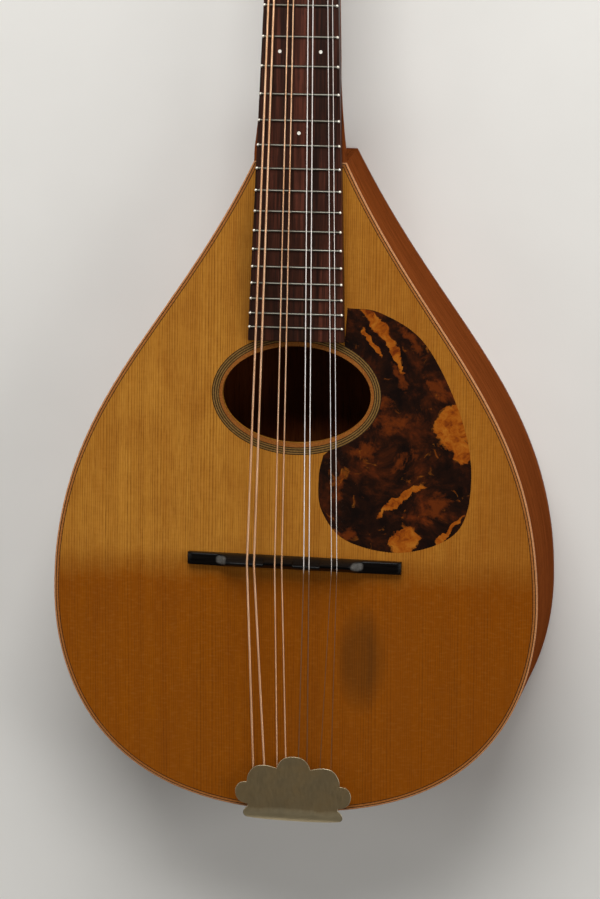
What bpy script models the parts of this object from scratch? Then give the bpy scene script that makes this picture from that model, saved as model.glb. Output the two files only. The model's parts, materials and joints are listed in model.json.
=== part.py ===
"""A flat back mandolin, modelled as an assembly of separate solid pieces.

The instrument lies on its flat back. The origin is on the outside of the back, on the centre line,
right under the bend across the top. +X is the treble side, +Y points to the headstock and +Z comes out
of the top. Below the bend the top is parallel to the back, and above it the top falls toward the neck,
so that the body gets shallower there. Neck, fretboard and strings follow that slope. The bridge stands
just below the bend, set back from the scale length and turned a little, as intonation needs.
"""

import math

import bmesh
import bpy
from mathutils import Matrix, Vector
from mathutils.geometry import interpolate_bezier

MM = 0.001

# Gaps between neighbours: wooden joints, visible inlays and metal bearings
JOINT_GAP = 0.3 * MM
INLAY_GAP = 0.1 * MM

# Reach of a cutter that passes through everything, and the sides of a small bore
FAR = 100 * MM
BORE_SIDES = 10

# Body
BODY_DEPTH = 70 * MM
NECK_PITCH = math.radians(4.8)
TOP_THICKNESS = 2.8 * MM
BACK_THICKNESS = 2.6 * MM
SIDE_THICKNESS = 2.2 * MM
BINDING_WIDTH = 2.7 * MM
BODY_END_Y = 178 * MM
BODY_END_HALF_WIDTH = 20.9 * MM
SHOULDER_ANGLE = math.radians(25.5)
SHOULDER_SLOPE = 0.62
WIDEST_HALF_WIDTH = 110.5 * MM
WIDEST_Y = -19.5 * MM
TAIL_Y = -118 * MM
SHOULDER_HANDLE = 89 * MM
WIDEST_UPPER_HANDLE = 88 * MM
WIDEST_LOWER_HANDLE = 32 * MM
TAIL_HANDLE = 97 * MM
SHOULDER_STEPS = 12
LOWER_STEPS = 14
RIM_LEAN = 0.018

# Inside the body
LINING_WIDTH = 4.5 * MM
LINING_HEIGHT = 6 * MM
LINING_BLOCK_GAP = 2 * MM
NECK_BLOCK_END_Y = 142 * MM
TAIL_BLOCK_HALF_WIDTH = 22 * MM
TAIL_BLOCK_DEPTH = 15 * MM
BRACE_THICKNESS = 7 * MM
BRACE_SLOPE_LENGTH = 16 * MM
BRACE_END_HEIGHT = 0.35
BRACE_END_GAP = 2 * MM
TOP_BRACE_HEIGHT = 11 * MM
BACK_BRACE_HEIGHT = 9 * MM
TOP_BRACES = {"top_brace_upper": 110 * MM, "top_brace_lower": 36 * MM}
BACK_BRACES = {"back_brace_upper": 96 * MM, "back_brace_lower": -44 * MM}

# Top decoration: the oval hole, its rosette and the inlaid pickguard
HOLE_CENTRE_Y = 73.6 * MM
HOLE_RADII = (33.75 * MM, 21.8 * MM)
ROSETTE_INNER_RADII = (35.6 * MM, 24.0 * MM)
ROSETTE_OUTER_RADII = (38.6 * MM, 27.2 * MM)
INLAY_DEPTH = 1.0 * MM
ROSETTE_SIDES = 32
PICKGUARD_OUTLINE = (
    (22.5, 113.2), (37.8, 111.2), (57.8, 98.0), (74.1, 66.9), (79.7, 38.4), (73.7, 14.2),
    (49.8, 4.0), (24.0, 8.4), (12.2, 22.0), (10.8, 37.0), (12.6, 46.6),
)
# The guard meets the rosette from this corner of the rosette's polygon to that one
PICKGUARD_ROSETTE_CORNERS = (-6, 5)
PICKGUARD_CENTRE = (45, 50)

# Neck and fretboard
SCALE_LENGTH = 330.2 * MM
FRET_COUNT = 20
BOARD_END_Y = 97.8 * MM
BOARD_THICKNESS = 5 * MM
BOARD_HALF_WIDTH_AT_NUT = 14.2 * MM
BOARD_WIDENING = 0.0323
FRET_WIDTH = 2 * MM
FRET_HEIGHT = 1.1 * MM
FRET_CROWN = 0.4
FRET_END_GAP = 0.2 * MM
SHAFT_DEPTH = 16 * MM
HEEL_START_Y = 224 * MM
HEEL_FULL_Y = 184 * MM
HEEL_DEPTH = 54 * MM
HEEL_FLARE = 1.8 * MM
HEEL_CURVE = 2.6
NOSE_LENGTH = 17 * MM
NOSE_RISE = 5.5 * MM
SHAFT_SQUARENESS = 2.2
HEEL_SQUARENESS = 4.0
NECK_STATIONS = (176, 184, 188, 193, 199, 206, 214, 224, 255, 290, 322, 331, 339)
NECK_ARC_STEPS = 12
TENON_LENGTH = 16 * MM
TENON_HALF_WIDTHS = (6.5 * MM, 8.5 * MM)
TENON_BOTTOM_Z = 14 * MM
TENON_OVERLAP = 3 * MM
NUT_LENGTH = 4.6 * MM
NUT_TOP = 7.3 * MM
NUT_SLOT_CLEARANCE = 0.3 * MM
NUT_SLOT_CUT = Vector((0, 20, 10)) * MM

# Headstock
HEAD_ANGLE = math.radians(10)
HEAD_ORIGIN = Vector((0, SCALE_LENGTH + 5.2 * MM, 1.5 * MM))
HEAD_LENGTH = 106 * MM
HEAD_THICKNESS = 12.5 * MM
HEAD_HALF_WIDTHS = (14.8 * MM, 26 * MM, 29 * MM)
HEAD_FLARE_LENGTH = 14 * MM
HEAD_CROWN = 4 * MM
HEAD_CROWN_FULLNESS = 0.8
HEAD_CURVE_STEPS = 6
VENEER_THICKNESS = 1.2 * MM

# Strings, from the treble side outward pair by pair: name, diameter, x at tailpiece, bridge, nut, and post
STRINGS = (
    ("string_a1", 0.41, 2.7, 5.2, 2.8, 3),
    ("string_a2", 0.41, 6.8, 7.6, 4.9, 2),
    ("string_e1", 0.28, 12.5, 17.8, 10.4, 1),
    ("string_e2", 0.28, 17.7, 20.2, 12.4, 0),
    ("string_d1", 0.66, -2.7, -4.8, -2.7, 3),
    ("string_d2", 0.66, -6.8, -8.0, -4.9, 2),
    ("string_g1", 0.97, -12.5, -17.4, -10.2, 1),
    ("string_g2", 0.97, -17.7, -20.6, -12.4, 0),
)
STRING_GAP = 0.08 * MM
STRING_BOTTOM_AT_NUT = 6.55 * MM
STRING_DROP_OVER_NUT = 0.25 * MM
STRING_TURNS = 2
LOOP_POINTS = 12
TURN_GAP = 0.5 * MM
TUCK_RADIUS = 0.9 * MM
STRING_END = 1.5 * MM

# Bridge
BRIDGE_TOP = 8.8 * MM
BRIDGE_FOOT_GAP = 0.15 * MM
BRIDGE_THICKNESS = 5.6 * MM
BRIDGE_CREST = 0.22
BRIDGE_WING_HEIGHT = 3.8 * MM
BRIDGE_SETBACK = 2.2 * MM
BRIDGE_TURN = math.radians(-0.9)
BRIDGE_PROFILE = (
    (-48.5, 0.0), (48.0, 0.0), (48.0, 2.6), (46.8, 3.4), (31.0, 3.7), (29.2, 5.6), (27.6, 7.9), (25.5, 8.8),
    (-28.0, 8.8), (-30.2, 7.9), (-31.8, 5.6), (-33.6, 3.7), (-47.3, 3.4), (-48.5, 2.6),
)

# Tailpiece
HOOK_Y = -103 * MM
HOOK_RADIUS = 0.8 * MM
HOOK_TOP = 5.2 * MM
STRING_HEIGHT_AT_HOOK = 3.4 * MM
BASE_HALF_WIDTH = 20 * MM
BASE_THICKNESS = 1.0 * MM
BASE_DROP = 28 * MM
BASE_DROP_HALF_WIDTH = 12 * MM
BASE_REACH = 4 * MM
HOOK_SIDES = 8
COVER_HEIGHT = 6.4 * MM
COVER_THICKNESS = 0.9 * MM
COVER_FRONT_Y = -121.6 * MM
COVER_APRON_HALF_WIDTH = 19 * MM
COVER_APRON_DROP = 16 * MM
# Each lobe of the treble half: centre, radius, first and last angle in degrees
COVER_LOBES = (
    ((0.0, -100.0), 7.4, 90, 14),
    ((13.2, -104.2), 7.5, 128, -12),
    ((20.2, -110.6), 6.0, 62, -88),
)
COVER_LOBE_STEPS = 7
# From the last lobe round the small foot at the corner, in to the front edge
COVER_FOOT = ((17.5, -117.4), (20.2, -118.6), (20.0, -120.4), (19.0, -121.6))

# Tuners; the thread's half widths are shares of its pitch
POST_SPACING = 22.5 * MM
FIRST_POST_Y = 18.5 * MM
POST_X = 18 * MM
POST_RADIUS = 3.0 * MM
POST_WAIST = 2.6 * MM
POST_TOP = 11.6 * MM
POST_HOLE_Z = 8.4 * MM
POST_HOLE_RADIUS = 0.9 * MM
POST_SIDES = 10
POST_CHAMFER = 0.6 * MM
POST_WAIST_LENGTH = 7 * MM
POST_COLLAR_TOP = 2.2 * MM
POST_FOOT = 1.2 * MM
POST_BORE = 3.3 * MM
GEAR_SHAFT_RADIUS = 2.2 * MM
PLATE_THICKNESS = 1.0 * MM
PLATE_HALF_WIDTH = 7 * MM
PLATE_END_OFFSETS = (1.5 * MM, 3.5 * MM)
PLATE_BACK_Z = -(HEAD_THICKNESS + JOINT_GAP + PLATE_THICKNESS)
GEAR_TEETH = 14
GEAR_PITCH_RADIUS = 3.68 * MM
GEAR_TIP_RADIUS = 4.0 * MM
GEAR_ROOT_RADIUS = 3.05 * MM
TOOTH_ROOT_HALF = 0.43 * MM
TOOTH_TIP_HALF = 0.17 * MM
GEAR_FACE = 2.6 * MM
GEAR_Z = PLATE_BACK_Z - 2.6 * MM
WORM_PITCH = 2 * math.pi * GEAR_PITCH_RADIUS / GEAR_TEETH
WORM_PITCH_RADIUS = 1.75 * MM
WORM_OUTER_RADIUS = 2.2 * MM
WORM_CORE_RADIUS = 1.25 * MM
WORM_LENGTH = 6.4 * MM
THREAD_ROOT_HALF = 0.34
THREAD_CREST_HALF = 0.08
WORM_SIDES = 8
GEAR_TO_WORM = GEAR_PITCH_RADIUS + WORM_PITCH_RADIUS
WORM_SHAFT_RADIUS = 1.1 * MM
LUG_THICKNESS = 1.3 * MM
LUG_HALF_WIDTH = 2.1 * MM
LUG_DEPTH = 2 * MM
LUG_GAP = 0.4 * MM
LUG_BORE = 1.45 * MM
SHAFT_INNER_END = 6 * MM
SHAFT_OUTER_END = 18 * MM
BUTTON_START = 13.5 * MM
BUTTON_LENGTH = 12 * MM
BUTTON_OVAL_LENGTH = 9 * MM
BUTTON_RADIUS = 6.6 * MM
BUTTON_COLLAR_RADII = (2.6 * MM, 2.3 * MM)
BUTTON_SIDES = 12
BUTTON_FLATNESS = 0.55
BUTTON_FULLNESS = 0.8


def clear_scene():
    for obj in list(bpy.data.objects):
        bpy.data.objects.remove(obj, do_unlink=True)


def make_collection(name):
    group = bpy.data.collections.new(name)
    bpy.context.scene.collection.children.link(group)
    return group


clear_scene()
PARTS = make_collection("flat_back_mandolin")
CUTTERS = make_collection("cutters")


def material(name, colour, roughness, metallic=0.0):
    """A plain Principled material; colour is linear red, green and blue."""
    look = bpy.data.materials.new(name)
    look.use_nodes = True
    shader = look.node_tree.nodes["Principled BSDF"]
    shader.inputs["Base Color"].default_value = (*colour, 1.0)
    shader.inputs["Roughness"].default_value = roughness
    shader.inputs["Metallic"].default_value = metallic
    return look


SPRUCE = material("spruce", (0.36, 0.17, 0.04), 0.32)
MAHOGANY = material("mahogany", (0.17, 0.05, 0.015), 0.38)
BARE_WOOD = material("bare_wood", (0.40, 0.26, 0.13), 0.7)
ROSEWOOD = material("rosewood", (0.07, 0.02, 0.014), 0.42)
EBONY = material("ebony", (0.01, 0.009, 0.009), 0.3)
BONE = material("bone", (0.72, 0.64, 0.48), 0.4)
TORTOISE = material("tortoise_celluloid", (0.06, 0.015, 0.006), 0.15)
PURFLING = material("purfling", (0.42, 0.27, 0.14), 0.4)
NICKEL = material("nickel", (0.42, 0.40, 0.33), 0.36, 1.0)
STEEL = material("steel", (0.55, 0.54, 0.52), 0.28, 1.0)
BRONZE = material("bronze", (0.62, 0.36, 0.2), 0.32, 1.0)
IVOROID = material("ivoroid", (0.76, 0.66, 0.46), 0.3)


def frame(name, parent, location, tilt):
    """An empty that carries a tilted frame; tilt turns it about X, headstock end down."""
    empty = bpy.data.objects.new(name, None)
    PARTS.objects.link(empty)
    empty.parent = parent
    empty.location = location
    empty.rotation_euler.x = -tilt
    return empty


NECK_FRAME = frame("neck_frame", None, (0, 0, BODY_DEPTH), NECK_PITCH)
HEAD_FRAME = frame("headstock_frame", NECK_FRAME, HEAD_ORIGIN, HEAD_ANGLE)
bpy.context.view_layer.update()
HEAD_TO_NECK = Matrix.Translation(HEAD_ORIGIN) @ Matrix.Rotation(-HEAD_ANGLE, 4, "X")
ROW_TO_NECK = NECK_FRAME.matrix_world.inverted()


def add_object(name, mesh, look, parent=None, location=(0, 0, 0), group=PARTS):
    obj = bpy.data.objects.new(name, mesh)
    group.objects.link(obj)
    obj.parent = parent
    obj.location = location
    if look:
        mesh.materials.clear()
        mesh.materials.append(look)
    return obj


def mesh_from(name, build):
    """Runs build on a new bmesh and returns it as a mesh with its faces pointing out."""
    bm = bmesh.new()
    build(bm)
    bmesh.ops.recalc_face_normals(bm, faces=bm.faces)
    mesh = bpy.data.meshes.new(name)
    bm.to_mesh(mesh)
    bm.free()
    return mesh


def edit_mesh(mesh, change):
    """Runs change on the mesh's own bmesh."""
    bm = bmesh.new()
    bm.from_mesh(mesh)
    change(bm)
    bm.to_mesh(mesh)
    bm.free()


def baked(obj):
    """Takes the object's evaluated shape as its own mesh and welds its seams."""
    bpy.context.view_layer.update()
    result = obj.evaluated_get(bpy.context.evaluated_depsgraph_get())
    mesh = bpy.data.meshes.new_from_object(result)
    edit_mesh(mesh, lambda bm: bmesh.ops.remove_doubles(bm, verts=bm.verts, dist=0.001 * MM))
    return mesh


def plate_mesh(name, outlines, low, high):
    """A flat plate between two heights; each outline after the first is a hole."""
    curve = bpy.data.curves.new(name, "CURVE")
    curve.dimensions = "2D"
    curve.fill_mode = "BOTH"
    curve.extrude = (high - low) / 2
    for outline in outlines:
        spline = curve.splines.new("POLY")
        spline.points.add(len(outline) - 1)
        spline.use_cyclic_u = True
        for point, (x, y) in zip(spline.points, outline):
            point.co = (x, y, 0, 1)
    guide = add_object(name + "_outline", curve, None, group=CUTTERS)
    mesh = baked(guide)
    bpy.data.objects.remove(guide, do_unlink=True)
    mesh.transform(Matrix.Translation((0, 0, (low + high) / 2)))
    edit_mesh(mesh, lambda bm: bmesh.ops.recalc_face_normals(bm, faces=bm.faces))
    mesh.name = name
    return mesh


def box_mesh(name, low, high):
    size = Vector(high) - Vector(low)
    place = Matrix.Translation((Vector(low) + Vector(high)) / 2) @ Matrix.Diagonal((*size, 1))
    return mesh_from(name, lambda bm: bmesh.ops.create_cube(bm, size=1, matrix=place))


def rod_mesh(name, places, radius, length, sides, axis="Z"):
    """Equal cylinders centred on the given places, along one axis."""
    turn = {"X": Matrix.Rotation(math.pi / 2, 4, "Y"), "Y": Matrix.Rotation(math.pi / 2, 4, "X"),
            "Z": Matrix.Identity(4)}[axis]

    def build(bm):
        for place in places:
            bmesh.ops.create_cone(bm, cap_ends=True, segments=sides, radius1=radius, radius2=radius,
                                  depth=length, matrix=Matrix.Translation(place) @ turn)

    return mesh_from(name, build)


def turned_object(name, profile, steps, look, parent, location=(0, 0, 0)):
    """A profile of radius and height, listed from top to bottom, turned about Z."""
    mesh = bpy.data.meshes.new(name)
    edges = [(i, i + 1) for i in range(len(profile) - 1)]
    mesh.from_pydata([(radius, 0, z) for radius, z in profile], edges, [])
    obj = add_object(name, mesh, look, parent, location)
    screw = obj.modifiers.new("turn", "SCREW")
    screw.steps = steps
    screw.render_steps = steps
    screw.use_merge_vertices = True
    screw.merge_threshold = 0.001 * MM
    obj.data = baked(obj)
    obj.modifiers.clear()
    edit_mesh(obj.data, lambda bm: bmesh.ops.recalc_face_normals(bm, faces=bm.faces))
    return obj


def combine(obj, mesh, operation, parent=None):
    """Joins a mesh to the object, or cuts it out of it, and bakes the result."""
    tool = add_object(obj.name + "_tool", mesh, None, parent, group=CUTTERS)
    tool.hide_render = True
    tool.display_type = "WIRE"
    boolean = obj.modifiers.new("boolean", "BOOLEAN")
    boolean.operation = operation
    boolean.object = tool
    obj.data = baked(obj)
    obj.modifiers.clear()
    bpy.data.objects.remove(tool, do_unlink=True)
    edit_mesh(obj.data, merge_flat_faces)


def merge_flat_faces(bm):
    bmesh.ops.dissolve_limit(bm, angle_limit=math.radians(0.3), verts=bm.verts, edges=bm.edges)


def smooth(obj, angle=40):
    obj.data.shade_smooth()
    obj.data.set_sharp_from_angle(angle=math.radians(angle))


# The body outline and the shapes that follow it

def half_outline():
    """Points and outward directions down the treble side, from the neck to the tail."""
    start = Vector((BODY_END_HALF_WIDTH, BODY_END_Y))
    along = Vector((math.sin(SHOULDER_ANGLE), -math.cos(SHOULDER_ANGLE)))
    widest = Vector((WIDEST_HALF_WIDTH, WIDEST_Y))
    tail = Vector((0, TAIL_Y))
    upper = interpolate_bezier(start, start + along * SHOULDER_HANDLE,
                               widest + Vector((0, WIDEST_UPPER_HANDLE)), widest, SHOULDER_STEPS + 1)
    lower = interpolate_bezier(widest, widest - Vector((0, WIDEST_LOWER_HANDLE)),
                               tail + Vector((TAIL_HANDLE, 0)), tail, LOWER_STEPS + 1)
    points = [Vector(p[:2]) for p in upper + lower[1:]]
    outward = []
    for i, point in enumerate(points):
        before = points[i - 1] if i else point - along
        after = points[i + 1] if i + 1 < len(points) else Vector((-points[i - 1].x, points[i - 1].y))
        step = (after - before).normalized()
        outward.append(Vector((-step.y, step.x)))
    return points, outward


OUTLINE_POINTS, OUTLINE_OUTWARD = half_outline()


def inset_half(inset, end_y=BODY_END_Y):
    """The half outline moved inward, with its first point slid along the shoulder to end_y."""
    points = [p - out * inset for p, out in zip(OUTLINE_POINTS, OUTLINE_OUTWARD)]
    rise = (end_y - points[0].y) / (points[0].y - points[1].y)
    points[0] = points[0] + (points[0] - points[1]) * rise
    points[-1].x = 0
    return points


def inset_loop(inset):
    treble = inset_half(inset, BODY_END_Y - inset)
    bass = [Vector((-p.x, p.y)) for p in treble[-2::-1]]
    return treble + bass


def half_width_at(y, inset=0.0):
    """Half width of the body at a place above the tail."""
    points = inset_half(inset)
    for a, b in zip(points, points[1:]):
        if a.y >= y >= b.y:
            return a.x + (b.x - a.x) * (a.y - y) / (a.y - b.y)
    raise ValueError("no outline at this height")


def taper_body(mesh):
    """Bends a piece drawn in a box-shaped body to the real one.

    Above the bridge line its heights shrink toward the neck, and the rim leans in toward the back.
    """
    def change(bm):
        parts = bm.verts[:] + bm.edges[:] + bm.faces[:]
        bmesh.ops.bisect_plane(bm, geom=parts, dist=0.001 * MM, plane_co=(0, 0, 0), plane_no=(0, 1, 0))
        for vert in bm.verts:
            x, y, z = vert.co
            if y <= 0:
                continue
            shoulder = BODY_END_HALF_WIDTH + SHOULDER_SLOPE * (BODY_END_Y - y)
            lean = RIM_LEAN * y * (1 - z / BODY_DEPTH) / shoulder
            fall = y * math.sin(NECK_PITCH) / BODY_DEPTH
            vert.co = (x * (1 - lean), y * math.cos(NECK_PITCH), z * (1 - fall))

    edit_mesh(mesh, change)
    return mesh


def body_plate(name, outlines, low, high, look):
    return add_object(name, taper_body(plate_mesh(name, outlines, low, high)), look)


def ellipse(radii, points, centre_y=HOLE_CENTRE_Y):
    turn = 2 * math.pi / points
    return [Vector((radii[0] * math.cos(i * turn), centre_y + radii[1] * math.sin(i * turn)))
            for i in range(points)]


def curve_through(points, steps):
    """A smooth open curve through the points, as a Catmull-Rom chain."""
    padded = [2 * points[0] - points[1]] + points + [2 * points[-1] - points[-2]]
    result = []
    for a, b, c, d in zip(padded, padded[1:], padded[2:], padded[3:]):
        for step in range(steps):
            t = step / steps
            result.append(0.5 * (2 * b + (c - a) * t + (2 * a - 5 * b + 4 * c - d) * t ** 2
                                 + (3 * b - a - 3 * c + d) * t ** 3))
    return result + [points[-1]]


def pickguard_outline(margin):
    """Round the guard's free edge, then back along the rosette and up the side of the fretboard."""
    centre = Vector(PICKGUARD_CENTRE) * MM
    free_edge = curve_through([Vector(p) * MM for p in PICKGUARD_OUTLINE], 3)
    free_edge = [p - (p - centre).normalized() * margin for p in free_edge]
    ring = ellipse([radius + 2 * margin for radius in ROSETTE_OUTER_RADII], ROSETTE_SIDES)
    first, last = PICKGUARD_ROSETTE_CORNERS
    return free_edge + [ring[corner] for corner in range(first, last + 1)]


# Body pieces

def soundboard():
    bottom = BODY_DEPTH - TOP_THICKNESS
    outline = inset_loop(BINDING_WIDTH + INLAY_GAP)
    mesh = plate_mesh("soundboard", [outline, ellipse(HOLE_RADII, ROSETTE_SIDES)], bottom, BODY_DEPTH)
    board = add_object("soundboard", mesh, SPRUCE)
    groove_outer = [r + INLAY_GAP for r in ROSETTE_OUTER_RADII]
    groove_inner = [r - INLAY_GAP for r in ROSETTE_INNER_RADII]
    floor = BODY_DEPTH - INLAY_DEPTH - INLAY_GAP
    rings = [ellipse(groove_outer, ROSETTE_SIDES), ellipse(groove_inner, ROSETTE_SIDES)]
    groove = plate_mesh("groove", rings, floor, BODY_DEPTH + MM)
    combine(board, groove, "DIFFERENCE")
    pocket = plate_mesh("pocket", [pickguard_outline(0)], floor, BODY_DEPTH + MM)
    combine(board, pocket, "DIFFERENCE")
    taper_body(board.data)


def rosette():
    outlines = [ellipse(ROSETTE_OUTER_RADII, ROSETTE_SIDES), ellipse(ROSETTE_INNER_RADII, ROSETTE_SIDES)]
    body_plate("rosette", outlines, BODY_DEPTH - INLAY_DEPTH, BODY_DEPTH, PURFLING)


def pickguard():
    outline = pickguard_outline(INLAY_GAP)
    body_plate("pickguard", [outline], BODY_DEPTH - INLAY_DEPTH, BODY_DEPTH, TORTOISE)


def top_binding():
    outlines = [inset_loop(0), inset_loop(BINDING_WIDTH)]
    body_plate("top_binding", outlines, BODY_DEPTH - TOP_THICKNESS, BODY_DEPTH, PURFLING)


def back_plate():
    body_plate("back_plate", [inset_loop(0)], 0, BACK_THICKNESS, MAHOGANY)


RIB_LOW = BACK_THICKNESS + JOINT_GAP
RIB_HIGH = BODY_DEPTH - TOP_THICKNESS - JOINT_GAP
RIB_INSIDE = SIDE_THICKNESS + JOINT_GAP


def half_band(name, outer, inner, low, high, look, side):
    """A strip between two insets of one half of the outline."""
    band = [Vector((p.x * side, p.y)) for p in outer + inner[::-1]]
    body_plate(name, [band], low, high, look)


def ribs():
    for name, side in (("side_treble", 1), ("side_bass", -1)):
        outer = inset_half(0)
        inner = inset_half(SIDE_THICKNESS)
        outer[-1].x = JOINT_GAP / 2
        inner[-1].x = JOINT_GAP / 2
        half_band(name, outer, inner, RIB_LOW, RIB_HIGH, MAHOGANY, side)


def linings():
    outer = inset_half(RIB_INSIDE)
    inner = inset_half(RIB_INSIDE + LINING_WIDTH)
    kept = [i for i, p in enumerate(inner)
            if p.y < NECK_BLOCK_END_Y - LINING_BLOCK_GAP and p.x > TAIL_BLOCK_HALF_WIDTH + JOINT_GAP]
    kept = kept[:-1:2] + kept[-1:]
    outer = [outer[i] for i in kept]
    inner = [inner[i] for i in kept]
    heights = {"lining_top_": RIB_HIGH - LINING_HEIGHT, "lining_back_": RIB_LOW}
    for name, low in heights.items():
        for side_name, side in (("treble", 1), ("bass", -1)):
            half_band(name + side_name, outer, inner, low, low + LINING_HEIGHT, BARE_WOOD, side)


def tenon_outline(gap):
    """Plan of the dovetail: narrow at the body's end and wide at its inner end."""
    narrow, wide = [half + gap for half in TENON_HALF_WIDTHS]
    inner_y = BODY_END_Y - TENON_LENGTH - gap
    outer_y = BODY_END_Y + TENON_OVERLAP
    return [Vector((narrow, outer_y)), Vector((-narrow, outer_y)), Vector((-wide, inner_y)),
            Vector((wide, inner_y))]


def neck_block():
    points = [p for p in inset_half(RIB_INSIDE) if p.y > NECK_BLOCK_END_Y]
    points.append(Vector((half_width_at(NECK_BLOCK_END_Y, RIB_INSIDE), NECK_BLOCK_END_Y)))
    outline = points + [Vector((-p.x, p.y)) for p in points[::-1]]
    block = add_object("neck_block", plate_mesh("neck_block", [outline], RIB_LOW, RIB_HIGH), BARE_WOOD)
    mortise = plate_mesh("mortise", [tenon_outline(JOINT_GAP)], TENON_BOTTOM_Z, BODY_DEPTH)
    combine(block, mortise, "DIFFERENCE")
    taper_body(block.data)


def tail_block():
    outer = [p for p in inset_half(RIB_INSIDE) if p.x < TAIL_BLOCK_HALF_WIDTH and p.y < 0]
    arc = outer + [Vector((-p.x, p.y)) for p in outer[-2::-1]]
    inner_y = TAIL_Y + RIB_INSIDE + TAIL_BLOCK_DEPTH
    outline = [Vector((outer[0].x, inner_y))] + arc + [Vector((-outer[0].x, inner_y))]
    body_plate("tail_block", [outline], RIB_LOW, RIB_HIGH, BARE_WOOD)


def brace(name, y, foot_z, tip_z):
    """A cross bar that is glued on at foot_z and reaches to tip_z, with lowered ends."""
    half = half_width_at(y + BRACE_THICKNESS / 2, RIB_INSIDE + LINING_WIDTH) - BRACE_END_GAP
    end_z = foot_z + (tip_z - foot_z) * BRACE_END_HEIGHT
    full = half - BRACE_SLOPE_LENGTH
    outline = [Vector(p) for p in ((-half, foot_z), (half, foot_z), (half, end_z), (full, tip_z),
                                   (-full, tip_z), (-half, end_z))]
    mesh = plate_mesh(name, [outline], -BRACE_THICKNESS / 2, BRACE_THICKNESS / 2)
    mesh.transform(Matrix.Translation((0, y, 0)) @ Matrix.Rotation(math.pi / 2, 4, "X"))
    add_object(name, taper_body(mesh), SPRUCE)


def braces():
    for name, y in TOP_BRACES.items():
        brace(name, y, RIB_HIGH, RIB_HIGH - TOP_BRACE_HEIGHT)
    for name, y in BACK_BRACES.items():
        brace(name, y, RIB_LOW, RIB_LOW + BACK_BRACE_HEIGHT)


# Neck pieces

def board_half_width(y):
    return BOARD_HALF_WIDTH_AT_NUT + (SCALE_LENGTH - y) * BOARD_WIDENING


def neck_section(y):
    """Half width, depth and squareness of the neck's wood under the fretboard."""
    heel = min(max((HEEL_START_Y - y) / (HEEL_START_Y - HEEL_FULL_Y), 0), 1)
    nose = max((y - (SCALE_LENGTH - NOSE_LENGTH / 2)) / NOSE_LENGTH, 0)
    half_width = board_half_width(y) + HEEL_FLARE * heel ** 2
    depth = SHAFT_DEPTH + (HEEL_DEPTH - SHAFT_DEPTH) * heel ** HEEL_CURVE - NOSE_RISE * nose
    return half_width, depth, SHAFT_SQUARENESS + (HEEL_SQUARENESS - SHAFT_SQUARENESS) * heel


def neck_shaft_mesh():
    """The shaft and heel, lofted through sections that have a flat top and a round underside."""
    def build(bm):
        rings = []
        for station in NECK_STATIONS:
            y = station * MM
            half_width, depth, squareness = neck_section(y)
            ring = []
            for i in range(NECK_ARC_STEPS + 1):
                angle = math.pi * i / NECK_ARC_STEPS
                across, down = math.cos(angle), math.sin(angle)
                x = half_width * math.copysign(abs(across) ** (2 / squareness), across)
                ring.append(bm.verts.new((x, y, -depth * abs(down) ** (2 / squareness))))
            rings.append(ring)
        for a, b in zip(rings, rings[1:]):
            for i in range(len(a)):
                j = (i + 1) % len(a)
                bm.faces.new((a[i], a[j], b[j], b[i]))
        bm.faces.new(rings[0])
        bm.faces.new(rings[-1])

    return mesh_from("neck", build)


def head_outline():
    """Half outline of the headstock from the nut to its crown, mirrored to a loop."""
    nut_half, low_half, high_half = HEAD_HALF_WIDTHS
    half = []
    for i in range(HEAD_CURVE_STEPS + 1):
        t = i / HEAD_CURVE_STEPS
        half.append(Vector((nut_half + (low_half - nut_half) * (1 - math.cos(math.pi * t)) / 2,
                            HEAD_FLARE_LENGTH * t)))
    side_top = HEAD_LENGTH - HEAD_CROWN
    half.append(Vector((high_half, side_top)))
    for i in range(1, HEAD_CURVE_STEPS):
        angle = math.pi / 2 * i / HEAD_CURVE_STEPS
        half.append(Vector((high_half * math.cos(angle) ** HEAD_CROWN_FULLNESS,
                            side_top + HEAD_CROWN * math.sin(angle))))
    half.append(Vector((0, HEAD_LENGTH)))
    return half + [Vector((-p.x, p.y)) for p in half[-2::-1]]


def post_places():
    """Post centres in the headstock's frame, by side and place from the nut."""
    return {(side, i): Vector((side * POST_X, FIRST_POST_Y + i * POST_SPACING, 0))
            for side in (1, -1) for i in range(4)}


POSTS = post_places()


def neck():
    obj = add_object("neck", neck_shaft_mesh(), MAHOGANY, NECK_FRAME)
    combine(obj, plate_mesh("head", [head_outline()], -HEAD_THICKNESS, 0), "UNION", HEAD_FRAME)
    end_y = (BODY_END_Y + JOINT_GAP) * math.cos(NECK_PITCH)
    combine(obj, box_mesh("body_end", (-FAR, end_y - FAR, -FAR), (FAR, end_y, FAR)), "DIFFERENCE")
    tenon = plate_mesh("tenon", [tenon_outline(0)], TENON_BOTTOM_Z + JOINT_GAP, RIB_HIGH - JOINT_GAP)
    combine(obj, taper_body(tenon), "UNION")
    bores = rod_mesh("bores", POSTS.values(), POST_BORE, FAR, BORE_SIDES)
    combine(obj, bores, "DIFFERENCE", HEAD_FRAME)
    smooth(obj)


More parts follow.
